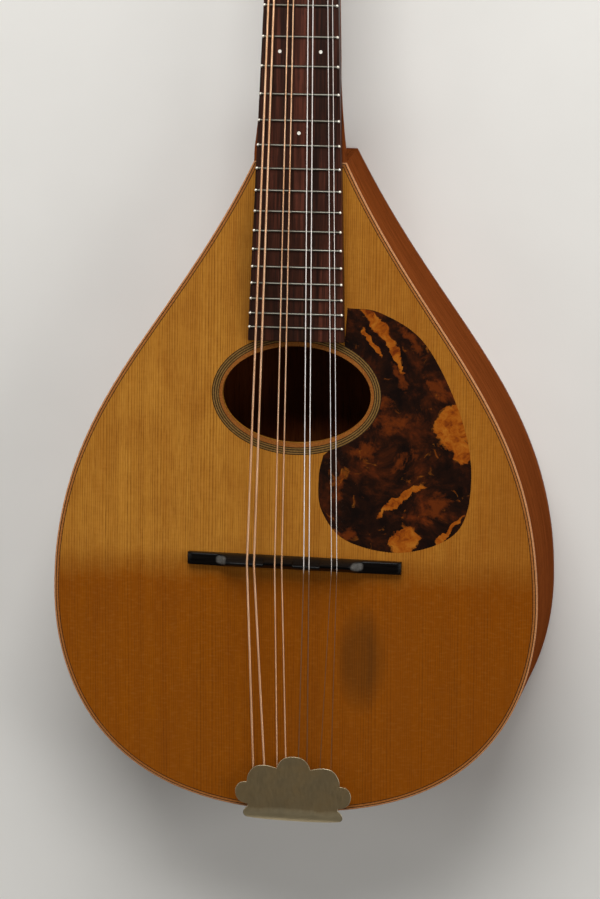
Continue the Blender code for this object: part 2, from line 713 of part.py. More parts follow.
def fretboard():
    low_half = board_half_width(BOARD_END_Y)
    nut_y = SCALE_LENGTH - INLAY_GAP
    outline = [Vector((low_half, BOARD_END_Y)), Vector((BOARD_HALF_WIDTH_AT_NUT, nut_y)),
               Vector((-BOARD_HALF_WIDTH_AT_NUT, nut_y)), Vector((-low_half, BOARD_END_Y))]
    obj = add_object("fretboard", plate_mesh("fretboard", [outline], INLAY_GAP, BOARD_THICKNESS), ROSEWOOD,
                     NECK_FRAME)

    def frets(bm):
        for n in range(1, FRET_COUNT + 1):
            y = SCALE_LENGTH * 2 ** (-n / 12)
            length = 2 * board_half_width(y) - 2 * FRET_END_GAP
            height = 2 * FRET_HEIGHT
            place = Matrix.Translation((0, y, BOARD_THICKNESS))
            size = Matrix.Diagonal((length, FRET_WIDTH, height, 1))
            made = bmesh.ops.create_cube(bm, size=1, matrix=place @ size)
            for vert in made["verts"]:
                if vert.co.z > BOARD_THICKNESS:
                    vert.co.y = y + (vert.co.y - y) * FRET_CROWN

    combine(obj, mesh_from("frets", frets), "UNION", NECK_FRAME)


def string_radius(diameter):
    return diameter * MM / 2


def nut():
    low = (-BOARD_HALF_WIDTH_AT_NUT, SCALE_LENGTH, INLAY_GAP)
    high = (BOARD_HALF_WIDTH_AT_NUT, SCALE_LENGTH + NUT_LENGTH, NUT_TOP)
    obj = add_object("nut", box_mesh("nut", low, high), BONE, NECK_FRAME)

    def slots(bm):
        for _, diameter, _, _, x, _ in STRINGS:
            width = diameter * MM + NUT_SLOT_CLEARANCE
            floor = Matrix.Translation((x * MM, SCALE_LENGTH, STRING_BOTTOM_AT_NUT - STRING_GAP))
            tilt = Matrix.Rotation(-math.atan(STRING_DROP_OVER_NUT / NUT_LENGTH), 4, "X")
            raised = Matrix.Translation((0, 0, NUT_SLOT_CUT.z / 2))
            size = Matrix.Diagonal((width, NUT_SLOT_CUT.y, NUT_SLOT_CUT.z, 1))
            bmesh.ops.create_cube(bm, size=1, matrix=floor @ tilt @ raised @ size)

    combine(obj, mesh_from("slots", slots), "DIFFERENCE", NECK_FRAME)


def headstock_veneer():
    outline = [p for p in head_outline() if p.y > 0]
    start = Vector((HEAD_HALF_WIDTHS[0], JOINT_GAP))
    outline = [start] + outline + [Vector((-start.x, start.y))]
    mesh = plate_mesh("headstock_veneer", [outline], INLAY_GAP, INLAY_GAP + VENEER_THICKNESS)
    obj = add_object("headstock_veneer", mesh, ROSEWOOD, HEAD_FRAME)
    bores = rod_mesh("bores", POSTS.values(), POST_BORE, FAR, BORE_SIDES)
    combine(obj, bores, "DIFFERENCE", HEAD_FRAME)


# Bridge and tailpiece

def bridge():
    outline = [Vector((x * MM, z * MM)) for x, z in BRIDGE_PROFILE]
    mesh = plate_mesh("bridge", [outline], -BRIDGE_THICKNESS / 2, BRIDGE_THICKNESS / 2)
    mesh.transform(Matrix.Rotation(math.pi / 2, 4, "X"))
    for vert in mesh.vertices:
        rise = max(vert.co.z - BRIDGE_WING_HEIGHT, 0) / (BRIDGE_TOP - BRIDGE_WING_HEIGHT)
        vert.co.y *= 1 - (1 - BRIDGE_CREST) * rise
        vert.co.z = max(vert.co.z, BRIDGE_FOOT_GAP)
    obj = add_object("bridge", mesh, EBONY, None, (0, -BRIDGE_SETBACK, BODY_DEPTH))
    obj.rotation_euler.z = BRIDGE_TURN


def tailpiece_base():
    """An angle plate over the tail's edge, with one upright hook for each string."""
    back_y = TAIL_Y - JOINT_GAP
    low = BODY_DEPTH + JOINT_GAP
    top = box_mesh("top", (-BASE_HALF_WIDTH, back_y - BASE_THICKNESS, low),
                   (BASE_HALF_WIDTH, HOOK_Y + BASE_REACH, low + BASE_THICKNESS))
    obj = add_object("tailpiece_base", top, NICKEL)
    drop = box_mesh("drop", (-BASE_DROP_HALF_WIDTH, back_y - BASE_THICKNESS, low - BASE_DROP),
                    (BASE_DROP_HALF_WIDTH, back_y, low + BASE_THICKNESS / 2))
    combine(obj, drop, "UNION")
    height = HOOK_TOP - JOINT_GAP - BASE_THICKNESS / 2
    centre_z = low + BASE_THICKNESS / 2 + height / 2
    places = [Vector((x * MM, HOOK_Y, centre_z)) for _, _, x, _, _, _ in STRINGS]
    combine(obj, rod_mesh("hooks", places, HOOK_RADIUS, height, HOOK_SIDES), "UNION")


def cover_outline():
    """Five lobes toward the bridge, a notch each side, and a bowed edge over the tail."""
    half = []
    for (x, y), radius, first, last in COVER_LOBES:
        for i in range(COVER_LOBE_STEPS + 1):
            angle = math.radians(first + (last - first) * i / COVER_LOBE_STEPS)
            half.append(Vector((x + radius * math.cos(angle), y + radius * math.sin(angle))) * MM)
    half += [Vector(point) * MM for point in COVER_FOOT]
    mirrored = [Vector((-p.x, p.y)) for p in half[::-1] if p.x > 0.01 * MM]
    return half + mirrored


def tailpiece_cover():
    low = BODY_DEPTH + COVER_HEIGHT
    top = plate_mesh("top", [cover_outline()], low, low + COVER_THICKNESS)
    obj = add_object("tailpiece_cover", top, NICKEL)
    half = COVER_APRON_HALF_WIDTH
    apron = box_mesh("apron", (-half, COVER_FRONT_Y, low - COVER_APRON_DROP),
                     (half, COVER_FRONT_Y + COVER_THICKNESS, low + COVER_THICKNESS / 2))
    combine(obj, apron, "UNION")


# Tuners

def gear_mesh():
    """A wheel whose teeth slant as the worm's thread does, with one tooth facing the worm."""
    flank = ((GEAR_ROOT_RADIUS, -TOOTH_ROOT_HALF), (GEAR_TIP_RADIUS, -TOOTH_TIP_HALF),
             (GEAR_TIP_RADIUS, TOOTH_TIP_HALF), (GEAR_ROOT_RADIUS, TOOTH_ROOT_HALF))
    outline = []
    for tooth in range(GEAR_TEETH):
        centre = math.pi / 2 + 2 * math.pi * tooth / GEAR_TEETH
        for radius, offset in flank:
            angle = centre + offset / radius
            outline.append(Vector((radius * math.cos(angle), radius * math.sin(angle))))
    mesh = plate_mesh("gear", [outline], GEAR_Z - GEAR_FACE / 2, GEAR_Z + GEAR_FACE / 2)
    slant = WORM_PITCH / (2 * math.pi * WORM_PITCH_RADIUS) / GEAR_PITCH_RADIUS
    for vert in mesh.vertices:
        vert.co = Matrix.Rotation((vert.co.z - GEAR_Z) * slant, 3, "Z") @ vert.co
    return mesh


def string_post(name, place):
    foot = GEAR_Z - GEAR_FACE / 2 - POST_FOOT
    waist_top = POST_TOP - 2 * MM
    shoulder = 1 * MM - HEAD_THICKNESS
    profile = [(0, POST_TOP), (POST_RADIUS - POST_CHAMFER, POST_TOP),
               (POST_RADIUS, POST_TOP - POST_CHAMFER), (POST_WAIST, waist_top),
               (POST_WAIST, waist_top - POST_WAIST_LENGTH),
               (POST_RADIUS, POST_COLLAR_TOP), (POST_RADIUS, shoulder),
               (GEAR_SHAFT_RADIUS, shoulder), (GEAR_SHAFT_RADIUS, foot), (0, foot)]
    obj = turned_object(name, profile, POST_SIDES, NICKEL, HEAD_FRAME, place)
    combine_at(obj, gear_mesh(), "UNION")
    hole = rod_mesh("hole", [Vector((0, 0, POST_HOLE_Z))], POST_HOLE_RADIUS, FAR, BORE_SIDES, "X")
    combine_at(obj, hole, "DIFFERENCE")
    smooth(obj)


def combine_at(obj, mesh, operation):
    """As combine, for a mesh drawn in the object's own frame."""
    mesh.transform(Matrix.Translation(obj.location))
    combine(obj, mesh, operation, obj.parent)


def worm_mesh():
    """A right-hand thread about X with its shaft; thread rows run along the helix.

    Where a row would pass the end of the thread it is held there at the core's radius.
    """
    corners = ((-THREAD_ROOT_HALF, WORM_CORE_RADIUS), (-THREAD_CREST_HALF, WORM_OUTER_RADIUS),
               (THREAD_CREST_HALF, WORM_OUTER_RADIUS), (THREAD_ROOT_HALF, WORM_CORE_RADIUS))
    half = WORM_LENGTH / 2
    turns = math.ceil(half / WORM_PITCH) + 1

    def point(row, side):
        lap, corner = divmod(row, len(corners))
        phase, radius = corners[corner]
        x = (lap - turns + phase + side / WORM_SIDES) * WORM_PITCH
        if abs(x) >= half:
            x = math.copysign(half, x)
            radius = WORM_CORE_RADIUS
        angle = 2 * math.pi * side / WORM_SIDES
        return Vector((x, radius * math.cos(angle), radius * math.sin(angle)))

    def build(bm):
        rows = len(corners) * 2 * turns
        grid = [[bm.verts.new(point(row, side)) for row in range(rows)] for side in range(WORM_SIDES)]
        for side in range(WORM_SIDES):
            wraps = side == WORM_SIDES - 1
            this, other = grid[side], grid[(side + 1) % WORM_SIDES]
            shift = len(corners) if wraps else 0
            for row in range(rows - 1 - shift):
                bm.faces.new((this[row], this[row + 1], other[row + 1 + shift], other[row + shift]))
        bmesh.ops.remove_doubles(bm, verts=bm.verts, dist=0.001 * MM)
        bmesh.ops.dissolve_degenerate(bm, edges=bm.edges, dist=0.001 * MM)
        for end, reach in ((-1, -SHAFT_INNER_END), (1, SHAFT_OUTER_END)):
            add_shaft(bm, end * half, reach)

    return mesh_from("worm", build)


def add_shaft(bm, start_x, end_x):
    """Closes the thread's end ring and draws a round shaft out of it."""
    ring = [edge for edge in bm.edges
            if edge.is_boundary and all(abs(vert.co.x - start_x) < 0.01 * MM for vert in edge.verts)]
    cap = bmesh.ops.contextual_create(bm, geom=ring)["faces"][0]
    bmesh.ops.inset_region(bm, faces=[cap], thickness=WORM_CORE_RADIUS - WORM_SHAFT_RADIUS)
    grown = bmesh.ops.extrude_face_region(bm, geom=[cap])
    for vert in grown["geom"]:
        if isinstance(vert, bmesh.types.BMVert):
            vert.co.x = end_x
    bmesh.ops.delete(bm, geom=[cap], context="FACES_ONLY")


def worm(name, place, side, shared):
    """One worm on the far side of its post's gear; on the bass side it is turned end for end."""
    axis_place = place + Vector((0, GEAR_TO_WORM, GEAR_Z))
    obj = add_object(name, shared, STEEL, HEAD_FRAME, axis_place)
    if side < 0:
        obj.rotation_euler.y = math.pi
    return axis_place


def button(name, axis_place, side):
    """An oval knob with a short collar, flattened across the headstock's face."""
    profile = [(0, 0)]
    for i in range(1, 5):
        angle = math.pi * i / 5
        profile.append((BUTTON_RADIUS * math.sin(angle) ** BUTTON_FULLNESS,
                        -BUTTON_OVAL_LENGTH * (1 - math.cos(angle)) / 2))
    profile += [(BUTTON_COLLAR_RADII[0], -BUTTON_OVAL_LENGTH), (BUTTON_COLLAR_RADII[1], -BUTTON_LENGTH),
                (0, -BUTTON_LENGTH)]
    obj = turned_object(name, profile, BUTTON_SIDES, IVOROID, HEAD_FRAME, axis_place)
    bore_length = 2 * (SHAFT_OUTER_END - BUTTON_START + JOINT_GAP)
    flatten = Matrix.Diagonal((BUTTON_FLATNESS, 1, 1, 1))
    raised = Matrix.Translation((0, 0, BUTTON_START + BUTTON_LENGTH))
    obj.data.transform(Matrix.Rotation(side * math.pi / 2, 4, "Y") @ raised @ flatten)
    mouth = [Vector((side * BUTTON_START, 0, 0))]
    bore = rod_mesh("bore", mouth, WORM_SHAFT_RADIUS + JOINT_GAP, bore_length, WORM_SIDES, "X")
    combine_at(obj, bore, "DIFFERENCE")
    smooth(obj, 60)


def tuner_plate(name, side):
    """A strip with round ends, bored for the posts, with two lugs for each worm's shaft."""
    first = FIRST_POST_Y + PLATE_END_OFFSETS[0]
    last = FIRST_POST_Y + 3 * POST_SPACING + PLATE_END_OFFSETS[1]
    outline = []
    for centre_y, start in ((last, 0), (first, math.pi)):
        for i in range(9):
            angle = start + math.pi * i / 8
            outline.append(Vector((side * POST_X + PLATE_HALF_WIDTH * math.cos(angle),
                                   centre_y + PLATE_HALF_WIDTH * math.sin(angle))))
    mesh = plate_mesh(name, [outline], PLATE_BACK_Z, PLATE_BACK_Z + PLATE_THICKNESS)
    obj = add_object(name, mesh, NICKEL, HEAD_FRAME)
    places = [place for (post_side, _), place in POSTS.items() if post_side == side]
    lug_x = WORM_LENGTH / 2 + LUG_GAP + LUG_THICKNESS / 2

    def lugs(bm):
        for place in places:
            for end in (-1, 1):
                low = GEAR_Z - LUG_DEPTH
                high = PLATE_BACK_Z + PLATE_THICKNESS / 2
                centre = place + Vector((end * lug_x, GEAR_TO_WORM, (low + high) / 2))
                size = Matrix.Diagonal((LUG_THICKNESS, 2 * LUG_HALF_WIDTH, high - low, 1))
                bmesh.ops.create_cube(bm, size=1, matrix=Matrix.Translation(centre) @ size)

    combine(obj, mesh_from("lugs", lugs), "UNION", HEAD_FRAME)
    post_holes = rod_mesh("post_holes", places, GEAR_SHAFT_RADIUS + LUG_GAP, FAR, BORE_SIDES)
    combine(obj, post_holes, "DIFFERENCE", HEAD_FRAME)
    axes = [place + Vector((0, GEAR_TO_WORM, GEAR_Z)) for place in places]
    lug_bores = rod_mesh("lug_bores", axes, LUG_BORE, 4 * lug_x, WORM_SIDES, "X")
    combine(obj, lug_bores, "DIFFERENCE", HEAD_FRAME)


def tuners():
    shared_worm = worm_mesh()
    for name, _, _, x_bridge, _, post in STRINGS:
        side = 1 if x_bridge > 0 else -1
        place = POSTS[side, post]
        short = name.removeprefix("string_")
        string_post("post_" + short, place)
        axis_place = worm("worm_" + short, place, side, shared_worm)
        button("button_" + short, axis_place, side)
    tuner_plate("tuner_plate_treble", 1)
    tuner_plate("tuner_plate_bass", -1)


# Strings

def winding(side, place, radius, nut_point):
    """The turns of one string on its post and its end through the post's hole, in the headstock's frame.

    The path runs from the side of the post that faces the centre line. It is worked out for the
    treble side and mirrored for the bass side.
    """
    wrap = POST_WAIST + JOINT_GAP + radius
    pitch = 2 * radius + TURN_GAP
    centre = Vector((abs(place.x), place.y))
    to_nut = Vector((nut_point.x * side, nut_point.y)) - centre
    first = math.atan2(to_nut.y, to_nut.x) - math.acos(wrap / to_nut.length)
    tuck_angle = math.asin(TUCK_RADIUS / (wrap - TUCK_RADIUS))
    last = math.pi + tuck_angle
    sweep = (first - last) % (2 * math.pi) + STRING_TURNS * 2 * math.pi
    count = round(sweep / (2 * math.pi) * LOOP_POINTS)
    low = POST_HOLE_Z - pitch * sweep / (2 * math.pi)
    path = []
    for i in range(count + 1):
        angle = first - sweep * i / count
        height = low + (POST_HOLE_Z - low) * i / count
        path.append(Vector((centre.x + wrap * math.cos(angle), centre.y + wrap * math.sin(angle), height)))
    bend_x = math.sqrt((wrap - TUCK_RADIUS) ** 2 - TUCK_RADIUS ** 2)
    for i in range(1, 5):
        angle = math.pi + tuck_angle - (tuck_angle + math.pi / 2) * i / 4
        path.append(Vector((centre.x - bend_x + TUCK_RADIUS * math.cos(angle),
                            centre.y - TUCK_RADIUS + TUCK_RADIUS * math.sin(angle), POST_HOLE_Z)))
    path.append(Vector((centre.x + POST_RADIUS + STRING_END, centre.y, POST_HOLE_Z)))
    return [Vector((p.x * side, p.y, p.z)) for p in path]


def string_path(diameter, x_tail, x_bridge, x_nut, post):
    """The string's centre line in the neck's frame: hook, saddle, nut, then its turns on the post."""
    radius = string_radius(diameter)
    side = 1 if x_bridge > 0 else -1
    hook = Vector((x_tail * MM, HOOK_Y + HOOK_RADIUS + JOINT_GAP, BODY_DEPTH + STRING_HEIGHT_AT_HOOK))
    saddle = Vector((x_bridge * MM, x_bridge * MM * math.tan(BRIDGE_TURN) - BRIDGE_SETBACK,
                     BODY_DEPTH + BRIDGE_TOP + STRING_GAP + radius))
    nut_point = Vector((x_nut * MM, SCALE_LENGTH, STRING_BOTTOM_AT_NUT + radius))
    nut_back = nut_point + Vector((0, NUT_LENGTH, -STRING_DROP_OVER_NUT))
    nut_in_head = HEAD_TO_NECK.inverted() @ nut_back
    turns = [HEAD_TO_NECK @ p for p in winding(side, POSTS[side, post], radius, nut_in_head)]
    return [ROW_TO_NECK @ hook, ROW_TO_NECK @ saddle, nut_point, nut_back] + turns


def least_self_gap(path, radius):
    """Least free space between stretches of the wound part that are over half a turn apart."""
    apart = LOOP_POINTS // 2
    wound = path[4:-5]
    gaps = [(a - b).length for i, a in enumerate(wound) for b in wound[i + apart:]]
    return min(gaps) - 2 * radius


def string(name, diameter, x_tail, x_bridge, x_nut, post):
    path = string_path(diameter, x_tail, x_bridge, x_nut, post)
    curve = bpy.data.curves.new(name, "CURVE")
    curve.dimensions = "3D"
    curve.bevel_depth = string_radius(diameter)
    curve.bevel_resolution = 1
    curve.use_fill_caps = True
    curve.resolution_u = 1
    curve.render_resolution_u = 0
    curve.materials.append(BRONZE if x_bridge < 0 else STEEL)
    spline = curve.splines.new("POLY")
    spline.points.add(len(path) - 1)
    for point, place in zip(spline.points, path):
        point.co = (*place, 1)
    obj = bpy.data.objects.new(name, curve)
    PARTS.objects.link(obj)
    obj.parent = NECK_FRAME
    length = sum((b - a).length for a, b in zip(path, path[1:]))
    gap = least_self_gap(path, string_radius(diameter))
    print(f"{name}: length {length / MM:.0f} mm, least gap to itself {gap / MM:.2f} mm")


def main():
    soundboard()
    rosette()
    pickguard()
    top_binding()
    back_plate()
    ribs()
    linings()
    neck_block()
    tail_block()
    braces()
    neck()
    fretboard()
    nut()
    headstock_veneer()
    bridge()
    tailpiece_base()
    tailpiece_cover()
    tuners()
    for row in STRINGS:
        string(*row)


main()
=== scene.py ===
"""A flat back mandolin in its final look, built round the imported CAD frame.

It lies on its flat back on a pale floor. The sizes are those of the CAD part, in metres and in the same
frame: the origin is under the bend across the top, +X is the treble side and +Y points to the headstock.
"""

import json
import math

import bmesh
import bpy
from mathutils import Matrix, Vector
from mathutils.geometry import interpolate_bezier

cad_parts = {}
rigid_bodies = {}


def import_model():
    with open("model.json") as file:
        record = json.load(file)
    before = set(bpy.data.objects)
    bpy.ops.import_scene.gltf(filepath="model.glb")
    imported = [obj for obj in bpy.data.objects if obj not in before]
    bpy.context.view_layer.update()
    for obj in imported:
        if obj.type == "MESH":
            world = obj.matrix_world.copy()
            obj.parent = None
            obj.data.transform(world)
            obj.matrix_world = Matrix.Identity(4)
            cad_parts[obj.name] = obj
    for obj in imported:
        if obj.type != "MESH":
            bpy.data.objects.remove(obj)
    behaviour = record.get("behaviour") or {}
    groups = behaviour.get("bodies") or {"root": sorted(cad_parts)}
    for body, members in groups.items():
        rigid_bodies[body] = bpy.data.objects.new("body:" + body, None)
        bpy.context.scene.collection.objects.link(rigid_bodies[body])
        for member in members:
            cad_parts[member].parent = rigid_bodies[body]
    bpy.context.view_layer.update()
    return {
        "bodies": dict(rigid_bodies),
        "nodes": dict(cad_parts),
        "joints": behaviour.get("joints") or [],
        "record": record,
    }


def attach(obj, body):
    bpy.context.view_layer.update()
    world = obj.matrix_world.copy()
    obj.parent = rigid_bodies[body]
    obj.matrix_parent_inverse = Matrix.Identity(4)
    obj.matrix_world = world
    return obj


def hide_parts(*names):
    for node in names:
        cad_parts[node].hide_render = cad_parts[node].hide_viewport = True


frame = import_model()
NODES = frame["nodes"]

MM = 0.001
FAR = 100 * MM
WELD = 0.001 * MM
# How wide the rounding of each piece's edges is
ROUNDING = {
    "back": 0.6 * MM, "head": 0.7 * MM, "fingerboard": 0.45 * MM, "nut": 0.25 * MM, "veneer": 0.3 * MM,
    "base": 0.2 * MM, "hook": 0.3 * MM, "cover": 0.22 * MM, "gear": 0.05 * MM, "shaft": 0.2 * MM,
    "strip": 0.12 * MM,
}
# Screw heads: radius, height, and width of the slot
TAIL_SCREW_SIZE = (2.1 * MM, 1.1 * MM, 0.5 * MM)
PLATE_SCREW_SIZE = (1.5 * MM, 0.9 * MM, 0.4 * MM)
# Shares of a screw head's height: its dome, and where the slot begins
SCREW_DOME = 0.55
SCREW_SLOT_BOTTOM = 0.45

# Body
BODY_DEPTH = 70 * MM
NECK_PITCH = math.radians(4.8)
TOP_THICKNESS = 2.8 * MM
BACK_THICKNESS = 2.6 * MM
SIDE_THICKNESS = 2.2 * MM
BODY_END_Y = 178 * MM
BODY_END_HALF_WIDTH = 20.9 * MM
SHOULDER_ANGLE = math.radians(25.5)
SHOULDER_SLOPE = 0.62
WIDEST_HALF_WIDTH = 110.5 * MM
WIDEST_Y = -19.5 * MM
TAIL_Y = -118 * MM
SHOULDER_HANDLE = 89 * MM
WIDEST_UPPER_HANDLE = 88 * MM
WIDEST_LOWER_HANDLE = 32 * MM
TAIL_HANDLE = 97 * MM
SHOULDER_STEPS = 48
LOWER_STEPS = 56
RIM_LEAN = 0.018

# The lines along the top's edge, from the rim inward: name, first and last inset in mm, and look; the
# outermost, on the rounded corner, is painted light as a painted highlight
EDGE_DEPTH = 1.2 * MM
EDGE_ROUNDING = 0.45 * MM
EDGE_LINES = (
    ("edge_outer_highlight", 0.0, 0.7, "light"),
    ("edge_outer_dark", 0.7, 1.1, "brown"),
    ("edge_inner_light", 1.1, 1.95, "tan"),
    ("edge_inner_dark", 1.95, 2.3, "brown"),
)
TOP_INSET = 2.3 * MM

# Hole, rosette and pickguard; the rosette's rings are offsets from its outer radii
HOLE_CENTRE_Y = 73.6 * MM
HOLE_RADII = (33.75 * MM, 21.8 * MM)
ROSETTE_OUTER_RADII = (38.6 * MM, 27.2 * MM)
ROSETTE_RINGS = (
    ("rosette_ring_1", 0.0, 0.4, "dark"),
    ("rosette_ring_2", 0.4, 1.0, "olive"),
    ("rosette_ring_3", 1.0, 1.4, "dark"),
    ("rosette_ring_4", 1.4, 2.05, "olive"),
    ("rosette_ring_5", 2.05, 2.45, "dark"),
    ("rosette_ring_6", 2.45, 3.05, "olive"),
    ("rosette_ring_7", 3.05, 3.4, "dark"),
)
RING_SIDES = 128
INLAY_DEPTH = 1.0 * MM
INLAY_PROUD = 0.03 * MM
HOLE_BAND_DEPTH = 0.5 * MM
PICKGUARD_OUTLINE = (
    (22.5, 113.2), (37.8, 111.2), (57.8, 98.0), (74.1, 66.9), (79.7, 38.4), (73.7, 14.2),
    (49.8, 4.0), (24.0, 8.4), (12.2, 22.0), (10.8, 37.0), (12.6, 46.6),
)
PICKGUARD_CURVE_STEPS = 12
PICKGUARD_RING_ANGLES = (-67.5, 56.25)
PICKGUARD_RING_STEPS = 32

# Neck and fretboard
SCALE_LENGTH = 330.2 * MM
FRET_COUNT = 20
BOARD_END_Y = 97.8 * MM
BOARD_THICKNESS = 5 * MM
BOARD_HALF_WIDTH_AT_NUT = 14.2 * MM
BOARD_WIDENING = 0.0323
FRET_WIDTH = 0.95 * MM
FRET_HEIGHT = 1.05 * MM
FRET_END_GAP = 0.3 * MM
FRET_BEAD_RADIUS = 0.66 * MM
FRET_BEAD_RISE = 0.4 * MM
FRET_SIDES = 8
# How far from its end, in mm, a fret has which share of its height
FRET_SLANT = ((0, 0.55), (0.5, 0.95), (1.2, 1.0))
DOT_RADIUS = 0.8 * MM
DOT_THICKNESS = 0.88 * MM
DOT_SINK = 0.4 * MM
# Position dots: fret and distance from the centre line in mm
DOTS = ((5, 0), (7, -9.2), (7, 9.2), (10, 0))
SHAFT_DEPTH = 16 * MM
HEEL_START_Y = 224 * MM
HEEL_FULL_Y = 184 * MM
HEEL_DEPTH = 54 * MM
HEEL_FLARE = 1.8 * MM
HEEL_CURVE = 2.6
HEEL_TAPER = 0.6
NOSE_LENGTH = 17 * MM
NOSE_RISE = 5.5 * MM
SHAFT_SQUARENESS = 2.2
HEEL_SQUARENESS = 4.0
NECK_ARC_STEPS = 32
# Where the neck's wood has a section, along y in mm
NECK_STATIONS = (*range(176, 230, 3), *range(230, 318, 8), 316, 321, 324, 328, 332, 336, 339)
NUT_LENGTH = 4.6 * MM

# Headstock
HEAD_ANGLE = math.radians(10)
HEAD_ORIGIN = Vector((0, SCALE_LENGTH + 5.2 * MM, 1.5 * MM))
HEAD_LENGTH = 106 * MM
HEAD_THICKNESS = 12.5 * MM
HEAD_HALF_WIDTHS = (14.8 * MM, 26 * MM, 29 * MM)
HEAD_FLARE_LENGTH = 14 * MM
HEAD_CROWN = 4 * MM
HEAD_CROWN_FULLNESS = 0.8
HEAD_CURVE_STEPS = 20
VENEER_THICKNESS = 1.2 * MM
VENEER_GAP = 0.1 * MM

# Strings, pair by pair: name, diameter, x at tailpiece, bridge and nut in mm, and post
STRINGS = (
    ("string_a1", 0.41, 2.7, 5.2, 2.8, 3),
    ("string_a2", 0.41, 6.8, 7.6, 4.9, 2),
    ("string_e1", 0.28, 12.5, 17.8, 10.4, 1),
    ("string_e2", 0.28, 17.7, 20.2, 12.4, 0),
    ("string_d1", 0.66, -2.7, -4.8, -2.7, 3),
    ("string_d2", 0.66, -6.8, -8.0, -4.9, 2),
    ("string_g1", 0.97, -12.5, -17.4, -10.2, 1),
    ("string_g2", 0.97, -17.7, -20.6, -12.4, 0),
)
STRING_BOTTOM_AT_NUT = 6.55 * MM
STRING_DROP_OVER_NUT = 0.25 * MM
STRING_REST = 0.02 * MM
STRING_TURNS = 2
LOOP_WIRE_RADIUS = 0.2 * MM
HOOK_GAP = 0.1 * MM
LOOP_POINTS = 24
JOINT_GAP = 0.3 * MM
TURN_GAP = 0.5 * MM
TUCK_RADIUS = 0.9 * MM
TUCK_STEPS = 8
STRING_END = 1.5 * MM

# Bridge
BRIDGE_TOP = 8.8 * MM
BRIDGE_HALF_THICKNESS = 2.8 * MM
BRIDGE_CREST_HALF = 0.62 * MM
BRIDGE_WING_HEIGHT = 3.8 * MM
BRIDGE_SETBACK = 2.2 * MM
BRIDGE_TURN = math.radians(-0.9)
# The camera sees the saddle's strings this far to the treble side of the CAD's places
SADDLE_SHIFT = 0.8 * MM
# The upper edge of the bridge from the bass end to the treble end, x and height in mm
BRIDGE_EDGE = (
    (-48.5, 2.4), (-47.9, 3.0), (-46.6, 3.35), (-35.0, 3.65), (-33.4, 4.0), (-31.6, 5.9), (-30.2, 7.8),
    (-28.4, 8.7), (-26.5, 8.8), (24.2, 8.8), (25.9, 8.7), (27.6, 7.8), (29.1, 5.9), (30.8, 4.0),
    (32.4, 3.65), (46.7, 3.35), (48.1, 3.0), (48.7, 2.4),
)
BRIDGE_CORNER_EASE = 0.5
# Where the bridge has a section, along x in mm
BRIDGE_STATIONS = (-48.5, -48.3, -47.9, -47.2, *[-46.4 + 0.45 * i for i in range(209)],
                   47.8, 48.3, 48.6, 48.7)
# At which share of the height the bridge's sides keep which share of their width
BRIDGE_EASE = ((0.0, 1.0), (0.3, 1.0), (0.55, 1.0), (0.75, 0.99), (0.9, 0.96), (0.97, 0.88), (1.0, 0.68))
# Where each step of the crest ends along x, and how far the step stands toward the tail, in mm
CREST_STEPS = ((-13.0, 0.45), (0.0, -0.4), (12.8, 0.4), (60.0, -0.4))

# Tailpiece
HOOK_Y = -103 * MM
HOOK_RADIUS = 0.8 * MM
STRING_HEIGHT_AT_HOOK = 3.4 * MM
COVER_HEIGHT = 6.4 * MM
COVER_THICKNESS = 0.9 * MM
COVER_RIM_RADIUS = 0.22 * MM
COVER_FRONT_Y = -121.6 * MM
COVER_APRON_START_Y = -120.3 * MM
COVER_APRON_HALF_WIDTH = 17.5 * MM
COVER_APRON_DROP = 16 * MM
COVER_APRON_CORNER = 4 * MM
COVER_BEND_Y = -115.8 * MM
COVER_BEND_RADIUS = 6.8 * MM
COVER_BEND_ROWS = 8
COVER_CUT_BEFORE_BEND = 0.5 * MM
COVER_PLACE = (0.8 * MM, math.radians(-1.0))
# Each curve of the treble half of the cover's outline; they meet in corners
COVER_CURVES = (
    ((0.0, -90.9), (2.6, -91.2), (4.9, -92.3), (6.6, -94.2), (7.7, -96.7)),
    ((7.7, -96.7), (9.3, -96.2), (11.6, -95.7), (14.6, -95.6), (17.6, -96.4), (19.7, -98.5), (20.9, -101.3),
     (21.1, -103.7)),
    ((21.1, -103.7), (22.7, -103.8), (24.7, -104.5), (26.1, -106.6), (26.3, -109.2), (25.2, -111.7),
     (23.2, -113.1), (20.6, -113.6)),
    ((20.6, -113.6), (20.5, -114.8), (21.6, -115.9), (22.5, -117.3), (22.5, -119.0), (21.2, -120.4)),
    ((21.2, -120.4), (15.5, -121.1), (8.0, -121.5), (0.0, -121.6)),
)
COVER_CURVE_STEPS = 6
BASE_HALF_WIDTH = 18.6 * MM
BASE_THICKNESS = 1.0 * MM
BASE_DROP = 28 * MM
BASE_DROP_HALF_WIDTH = 12 * MM
BASE_REACH = 4 * MM
BASE_GAP_AT_TAIL = 0.1 * MM
BASE_GAP_AT_TOP = 0.05 * MM
BASE_CORNER = 3 * MM
BASE_DROP_CORNER = 4 * MM
HOOK_TOP = 5.2 * MM
# Screws through the base into the tail block: x and distance below the top in mm
TAIL_SCREWS = ((-7, 15), (7, 15), (0, 22))

# Tuners; the thread's half widths are shares of its pitch
POST_SPACING = 22.5 * MM
FIRST_POST_Y = 18.5 * MM
POST_X = 18 * MM
POST_RADIUS = 3.0 * MM
POST_WAIST = 2.6 * MM
# The post above the headstock's face, from its crown down: radius and height in mm
POST_PROFILE = (
    (0, 11.6), (1.9, 11.6), (2.5, 11.42), (2.86, 11.05), (3.0, 10.6), (2.93, 10.1), (2.72, 9.75),
    (2.6, 9.4), (2.6, 3.0), (2.7, 2.6), (3.0, 2.3), (3.0, 2.1),
)
POST_HOLE_Z = 8.4 * MM
